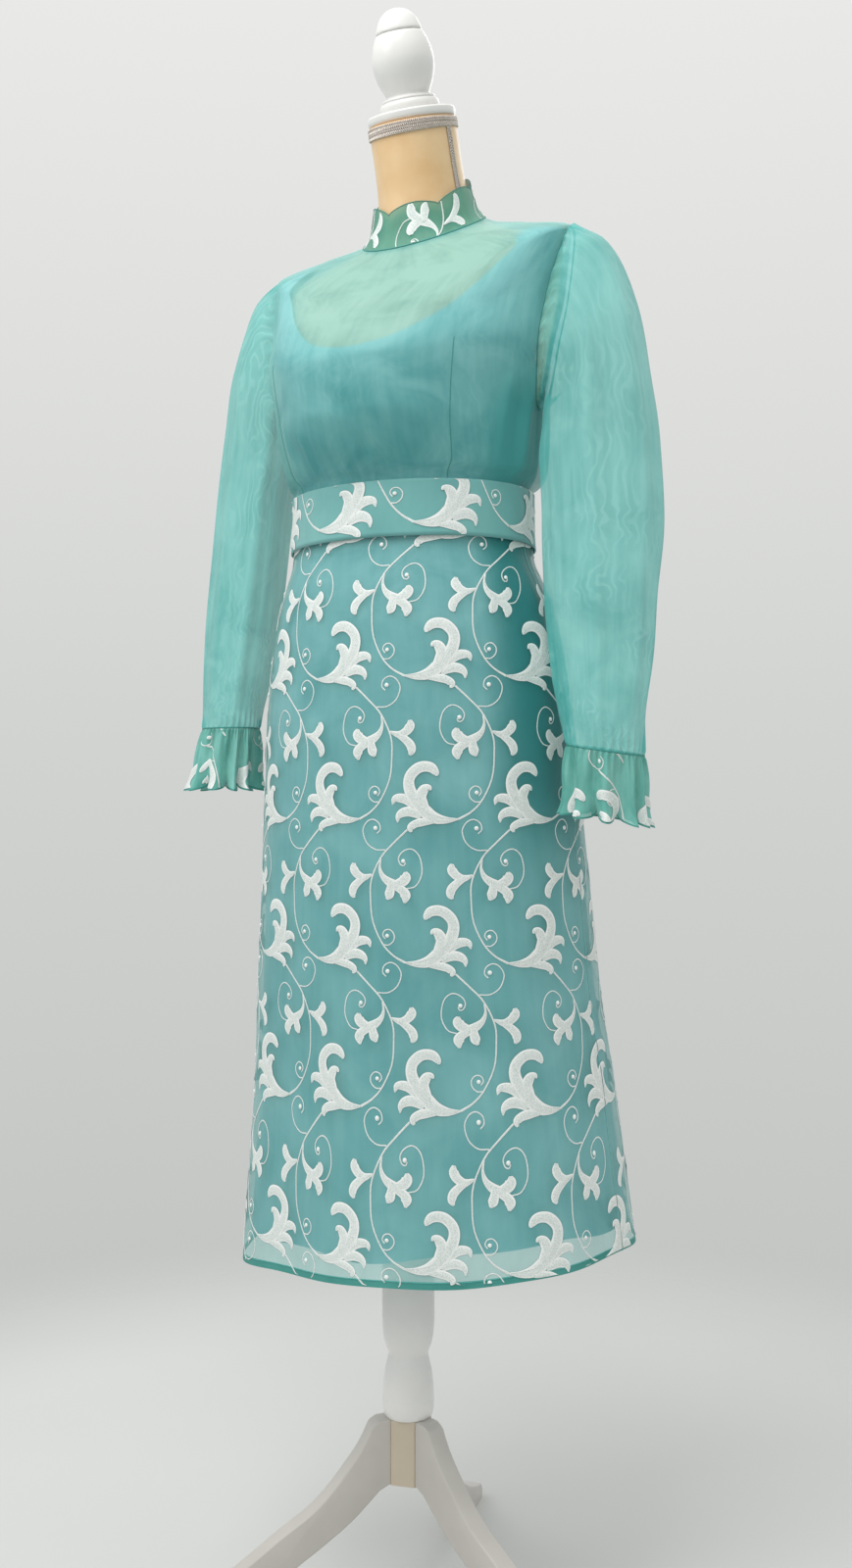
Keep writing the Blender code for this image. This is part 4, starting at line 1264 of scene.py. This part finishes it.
for name, shift in (("left", 0.013), ("right", 0.040)):

    def cuff_place(x, y, out, place=RUFFLES[name]):
        return place(x / CUFF_LENGTH + 0.5, 1 - y / CUFF_HEIGHT, 0.00025 + out)

    vines = []
    for k in range(-2, 3):
        x = CUFF_REPEAT * k + shift
        vines.append(Placement(TENDRIL, x, 0.050, 1, 180, 1))
        vines.append(Placement(TENDRIL, x - 0.023, 0.050 + HALF_REPEAT, -1, 180, 1))
    for x, y, mirror, turn in ((-0.099, -0.024, -1, 10), (-0.084, -0.022, 1, -8)):
        for k in range(-1, 4):
            vines.append(Placement(LEAF_TIP, CUFF_REPEAT * k + shift + x, y, mirror, turn, 0.95))
    cuff_vine = lay("vine_cuff_" + name, vines, cuff_place, cuff_limits, thread)


# %% [markdown]
# ## The padded form
# The form is covered in satin jersey, a knit with a soft shine. It shows at
# the neck and, tinted, through the sheer shoulders.

# %% Form
satin_jersey, tree, shader = finish(
    "satin jersey, knitted", Roughness=0.34, Sheen_Weight=0.1, Specular_IOR_Level=0.6
)
place = add(tree, "TexCoord").outputs["Object"]
tone = blend(tree, noise(tree, place, 30.0, 4.0), "#dbac70", "#f0d5ac")
cover(tree, shader, tone, noise(tree, place, 900.0), 0.3, 0.0005)

# The form ends in a flat bottom, between the rings of the thigh
FORM_END, FORM_BOTTOM = 13.25, 0.82


def form_place(u, v):
    t = FORM_END * v
    points = body_point(t, 360.0 * u - 180.0, -ring_size(t, "form"))
    points[..., 2] = np.where(v > 0.9999, FORM_BOTTOM, points[..., 2])
    return points


form = cloth("form_cover", form_place, 144, 160, satin_jersey, closed=True)
bm = bmesh.new()
bm.from_mesh(form.data)
bmesh.ops.holes_fill(bm, edges=[edge for edge in bm.edges if edge.is_boundary], sides=200)
bm.to_mesh(form.data)
bm.free()
form.data.set_sharp_from_angle(angle=math.radians(50))
wear(form, "form_cover", "form_torso")

# %% [markdown]
# ## Turned and painted wood
# The finial, disc and pole are turned on a lathe, so each is one profile spun
# round its axis. The paint is a satin enamel, brushed on.


# %% Painted wood finishes
def painted(name, pale, worn, roughness):
    material, tree, shader = finish(name, Roughness=roughness, Coat_Weight=0.15, Coat_Roughness=0.25)
    place = add(tree, "TexCoord").outputs["Object"]
    tone = blend(tree, noise(tree, place, 25.0, 5.0), worn, pale)
    stretched = add(tree, "Mapping", {"Vector": place, "Scale": (1.0, 1.0, 0.15)})
    cover(tree, shader, tone, noise(tree, stretched, 260.0), 0.12, 0.0006)
    return material


white_enamel = painted("satin enamel on turned wood", "#ecebe9", "#deddda", 0.28)
grey_enamel = painted("grey enamel on sawn boards", "#c6c3bd", "#b7b3ac", 0.42)
primer = painted("primer on a wooden block", "#c9bda9", "#bdb09d", 0.6)
black_steel, tree, shader = finish("blackened steel", Metallic=1.0, Roughness=0.4)
shader.inputs["Base Color"].default_value = linear("#1c1c1c")

# %% Turned pieces
# Profiles are rows of radius and height, in tenths of a millimetre
FINIAL = (
    (0, 1040), (60, 1034), (120, 1010), (175, 965), (215, 905), (240, 845), (248, 815),
    (247, 806), (236, 800), (232, 796), (233, 790), (252, 786), (262, 775), (290, 715),
    (315, 640), (330, 560), (334, 490), (325, 410), (300, 320), (268, 245), (245, 200),
    (236, 178), (238, 160), (262, 148), (285, 140), (290, 128), (284, 118), (284, 112),
    (308, 104), (320, 80), (322, 50), (316, 15), (300, 0), (0, 0),
)
POLE = (
    (0, 8197), (283, 8197), (283, 3230), (281, 3150), (275, 3060), (265, 2990), (250, 2930),
    (233, 2880), (221, 2855), (216, 2838), (215, 2825), (217, 2808), (224, 2770), (237, 2710),
    (250, 2660), (260, 2590), (268, 2520), (273, 2450), (276, 2380), (277, 2345), (280, 2330),
    (281, 2305), (279, 2270), (276, 2240), (270, 2205), (262, 2175), (250, 2153), (0, 2153),
)
DISC = (
    (0, 103), (450, 103), (470, 98), (478, 88), (480, 70), (480, 40), (474, 20),
    (460, 8), (440, 3), (0, 3),
)


BOLT = ((0, 1452), (55, 1452), (55, 1420), (45, 1407), (0, 1405))


def rounded(profile):
    """The profile in metres, with points between, on a curve wherever it isn't creased."""
    points = np.array(profile) / 10000
    way = unit(np.diff(points, axis=0))
    bend = np.degrees(np.arccos(np.clip((way[:-1] * way[1:]).sum(axis=1), -1, 1)))
    soft = np.concatenate(([False], bend < 36, [False]))
    out = []
    for k in range(len(points) - 1):
        p1, p2 = points[k], points[k + 1]
        p0 = points[k - 1] if soft[k] else 2 * p1 - p2
        p3 = points[k + 2] if soft[k + 1] else 2 * p2 - p1
        if k == 0 and bend[0] < 36:
            p0 = p2 * (-1, 1)
        reach = np.linalg.norm(p2 - p1)
        start, end = unit(p2 - p0) * reach, unit(p3 - p1) * reach
        out += [tuple(hermite(s, p1, start, p2, end)) for s in (0.0, 1 / 3, 2 / 3)]
    return out + [tuple(points[-1])]


def stand_piece(name, bm, material, slot, node, place, crease):
    """A hard piece of the stand, with sharp edges where it bends by crease degrees."""
    bm.transform(Matrix.Translation(AXIS) @ place)
    piece = link_piece(name, bm, material)
    piece.data.set_sharp_from_angle(angle=math.radians(crease))
    wear(piece, slot, node)


def turned(name, profile, material, slot, node, place=Matrix.Identity(4), segments=72):
    """The profile, spun round Z and set in its place."""
    bm = bmesh.new()
    verts = [bm.verts.new((max(radius, 0.0), 0, height)) for radius, height in rounded(profile)]
    edges = [bm.edges.new(pair) for pair in zip(verts, verts[1:])]
    spin = dict(axis=(0, 0, 1), cent=(0, 0, 0), angle=math.tau, steps=segments, use_merge=True)
    bmesh.ops.spin(bm, geom=verts + edges, **spin)
    bmesh.ops.remove_doubles(bm, verts=bm.verts, dist=0.00002)
    bmesh.ops.recalc_face_normals(bm, faces=bm.faces)
    stand_piece(name, bm, material, slot, node, place, 38)


# The head leans back with the form's neck, and the finial stands on the disc
neck_foot, head_lean = Ring(*RINGS[0]), math.radians(18.5)
head = Matrix.Translation((0, neck_foot.centre_y, neck_foot.side_z)) @ Matrix.Rotation(head_lean, 4, "X")
on_disc = head @ Matrix.Translation((0, 0, 0.0106))
turned("disc_turned", DISC, white_enamel, "white_wood", "neck_disc", head)
turned("finial_turned", FINIAL, white_enamel, "white_wood", "finial", on_disc)
turned("pole_turned", POLE, white_enamel, "white_wood", "pole")
turned("bolt_head", BOLT, black_steel, "bolt", "hub_bolt", segments=24)

# %% [markdown]
# The three feet are sawn from board and their edges are rounded with a
# router. They are screwed to a short block under the pole.

# %% Feet and block
LEG_ANGLES = {"leg_left": -16.0, "leg_back": 104.0, "leg_right": -136.0}
LEG_THICKNESS, HUB_RADIUS, HUB_BOTTOM, HUB_TOP = 0.023, 0.0259, 0.1455, 0.2150
LEG_START = HUB_RADIUS * math.cos(math.radians(30)) + GAP
# The foot's upper and lower edge, out from the pole, in tenths of a millimetre
LEG_UPPER = (
    (340, 2145), (420, 2090), (470, 1990), (560, 1830), (720, 1620), (920, 1385), (1110, 1215),
    (1390, 1030), (1680, 820), (2000, 600), (2350, 400), (2680, 260), (2950, 180),
)
LEG_LOWER = (
    (3020, 90), (3000, 0), (2500, 0), (2150, 120), (1800, 300), (1500, 490), (1210, 700),
    (990, 845), (760, 1010), (610, 1130), (460, 1275), (340, 1395),
)


def rout(bm, edges, offset):
    """Rounds the edges over, as a router does."""
    how = dict(segments=3, profile=0.5, affect="EDGES", material=-1, clamp_overlap=True)
    bmesh.ops.bevel(bm, geom=edges, offset=offset, **how)


def foot(node, angle):
    upper, lower = np.array(LEG_UPPER) / 10000, np.array(LEG_LOWER) / 10000
    curves = [*smooth_curve(upper, 40), *lower[:3], *smooth_curve(lower[2:], 30)[1:]]
    outline = [*curves, (LEG_START, HUB_BOTTOM), (LEG_START, HUB_TOP)]
    bm = bmesh.new()
    verts = [bm.verts.new((away, -LEG_THICKNESS / 2, height)) for away, height in outline]
    face = bm.faces.new(verts)
    made = bmesh.ops.extrude_face_region(bm, geom=[face])
    moved = [item for item in made["geom"] if isinstance(item, bmesh.types.BMVert)]
    bmesh.ops.translate(bm, verts=moved, vec=(0, LEG_THICKNESS, 0))
    bmesh.ops.recalc_face_normals(bm, faces=bm.faces)
    # All the rim but where it meets the block and where it stands on the floor
    rims = [
        edge
        for edge in bm.edges
        if abs(edge.verts[0].co.y - edge.verts[1].co.y) < 1e-6
        and max(v.co.x for v in edge.verts) > LEG_START + 1e-4
        and max(v.co.z for v in edge.verts) > 0.001
    ]
    rout(bm, rims, 0.0022)
    turn = Matrix.Rotation(math.radians(angle), 4, "Z")
    stand_piece(node + "_board", bm, grey_enamel, "grey_wood", node, turn, 40)


for node, angle in LEG_ANGLES.items():
    foot(node, angle)

bm = bmesh.new()
size = dict(radius1=HUB_RADIUS, radius2=HUB_RADIUS, depth=HUB_TOP - HUB_BOTTOM)
bmesh.ops.create_cone(bm, cap_ends=True, segments=6, **size)
bmesh.ops.translate(bm, verts=bm.verts, vec=(0, 0, (HUB_TOP + HUB_BOTTOM) / 2))
uprights = [edge for edge in bm.edges if abs(edge.verts[0].co.z - edge.verts[1].co.z) > 0.01]
rout(bm, uprights, 0.0015)
turn = Matrix.Rotation(math.radians(LEG_ANGLES["leg_left"]), 4, "Z")
stand_piece("hub_block", bm, primer, "hub_wood", "hub", turn, 30)

# %% [markdown]
# ## Silver braid
# A flat plait of metallic cord trims the form's neck, round the top and down
# the side. Each strand swings over and under the others.

# %% Braid
silver_cord, tree, shader = finish("metallic cord, plaited", Metallic=0.45, Roughness=0.45)
place = add(tree, "TexCoord").outputs["Object"]
tone = blend(tree, noise(tree, place, 700.0, 1.0), "#a3958b", "#efe7df")
tree.links.new(tone, shader.inputs["Base Color"])


def plait(bm, place, length, width, pitch, thick, closed):
    """Three strands plaited flat. place(s, a, out) gives points along the
    braid at s metres, a metres across it and out from the form."""
    turns = max(1, round(length / pitch))
    s = np.linspace(0, length, turns * 12 + 1)
    for strand in range(3):
        phase = math.tau * (s / length * turns + strand / 3)
        across, out = width / 2 * np.sin(phase), thick * (1 + 0.55 * np.sin(2 * phase))
        line = place(s, across, out) + AXIS
        if closed:
            line[-1] = line[0]
        lift = unit(place(s, across, out + 0.001) + AXIS - line)
        tube(bm, line, lift, thick * 0.8, thick * 0.8)


# Metres between the two uppermost rings, round the neck, and its radius
NECK_STEP, NECK_GIRTH, NECK_RADIUS = 0.080, 0.302, 0.048


def on_neck(t, turn, out):
    return body_point(t, turn, out - ring_size(t, "form"))


def neck_round(t):
    """Round the neck just under the disc, at ring t."""
    return lambda s, a, out: on_neck(t - a / NECK_STEP, s / NECK_GIRTH * 360.0 - 180.0, out)


def neck_side(s, a, out):
    """Down the side of the neck, leaning back a little."""
    return on_neck(0.14 + s / NECK_STEP, 81.0 + 5.0 * s / 0.084 + np.degrees(a / NECK_RADIUS), out)


BRAIDS = {
    "neck_braid": [
        (neck_round(t), NECK_GIRTH, 0.0046, 0.0066, 0.0009, True) for t in (0.052, 0.118)
    ],
    "side_braid": [(neck_side, 0.076, 0.0060, 0.0075, 0.0010, False)],
}
for name, plaits in BRAIDS.items():
    bm = bmesh.new()
    for row in plaits:
        plait(bm, *row)
    close_tubes(bm)
    braid = link_piece(name + "_plait", bm, silver_cord)
    wear(braid, "braid", name)
    print(f"{name}: {len(braid.data.polygons)} faces")
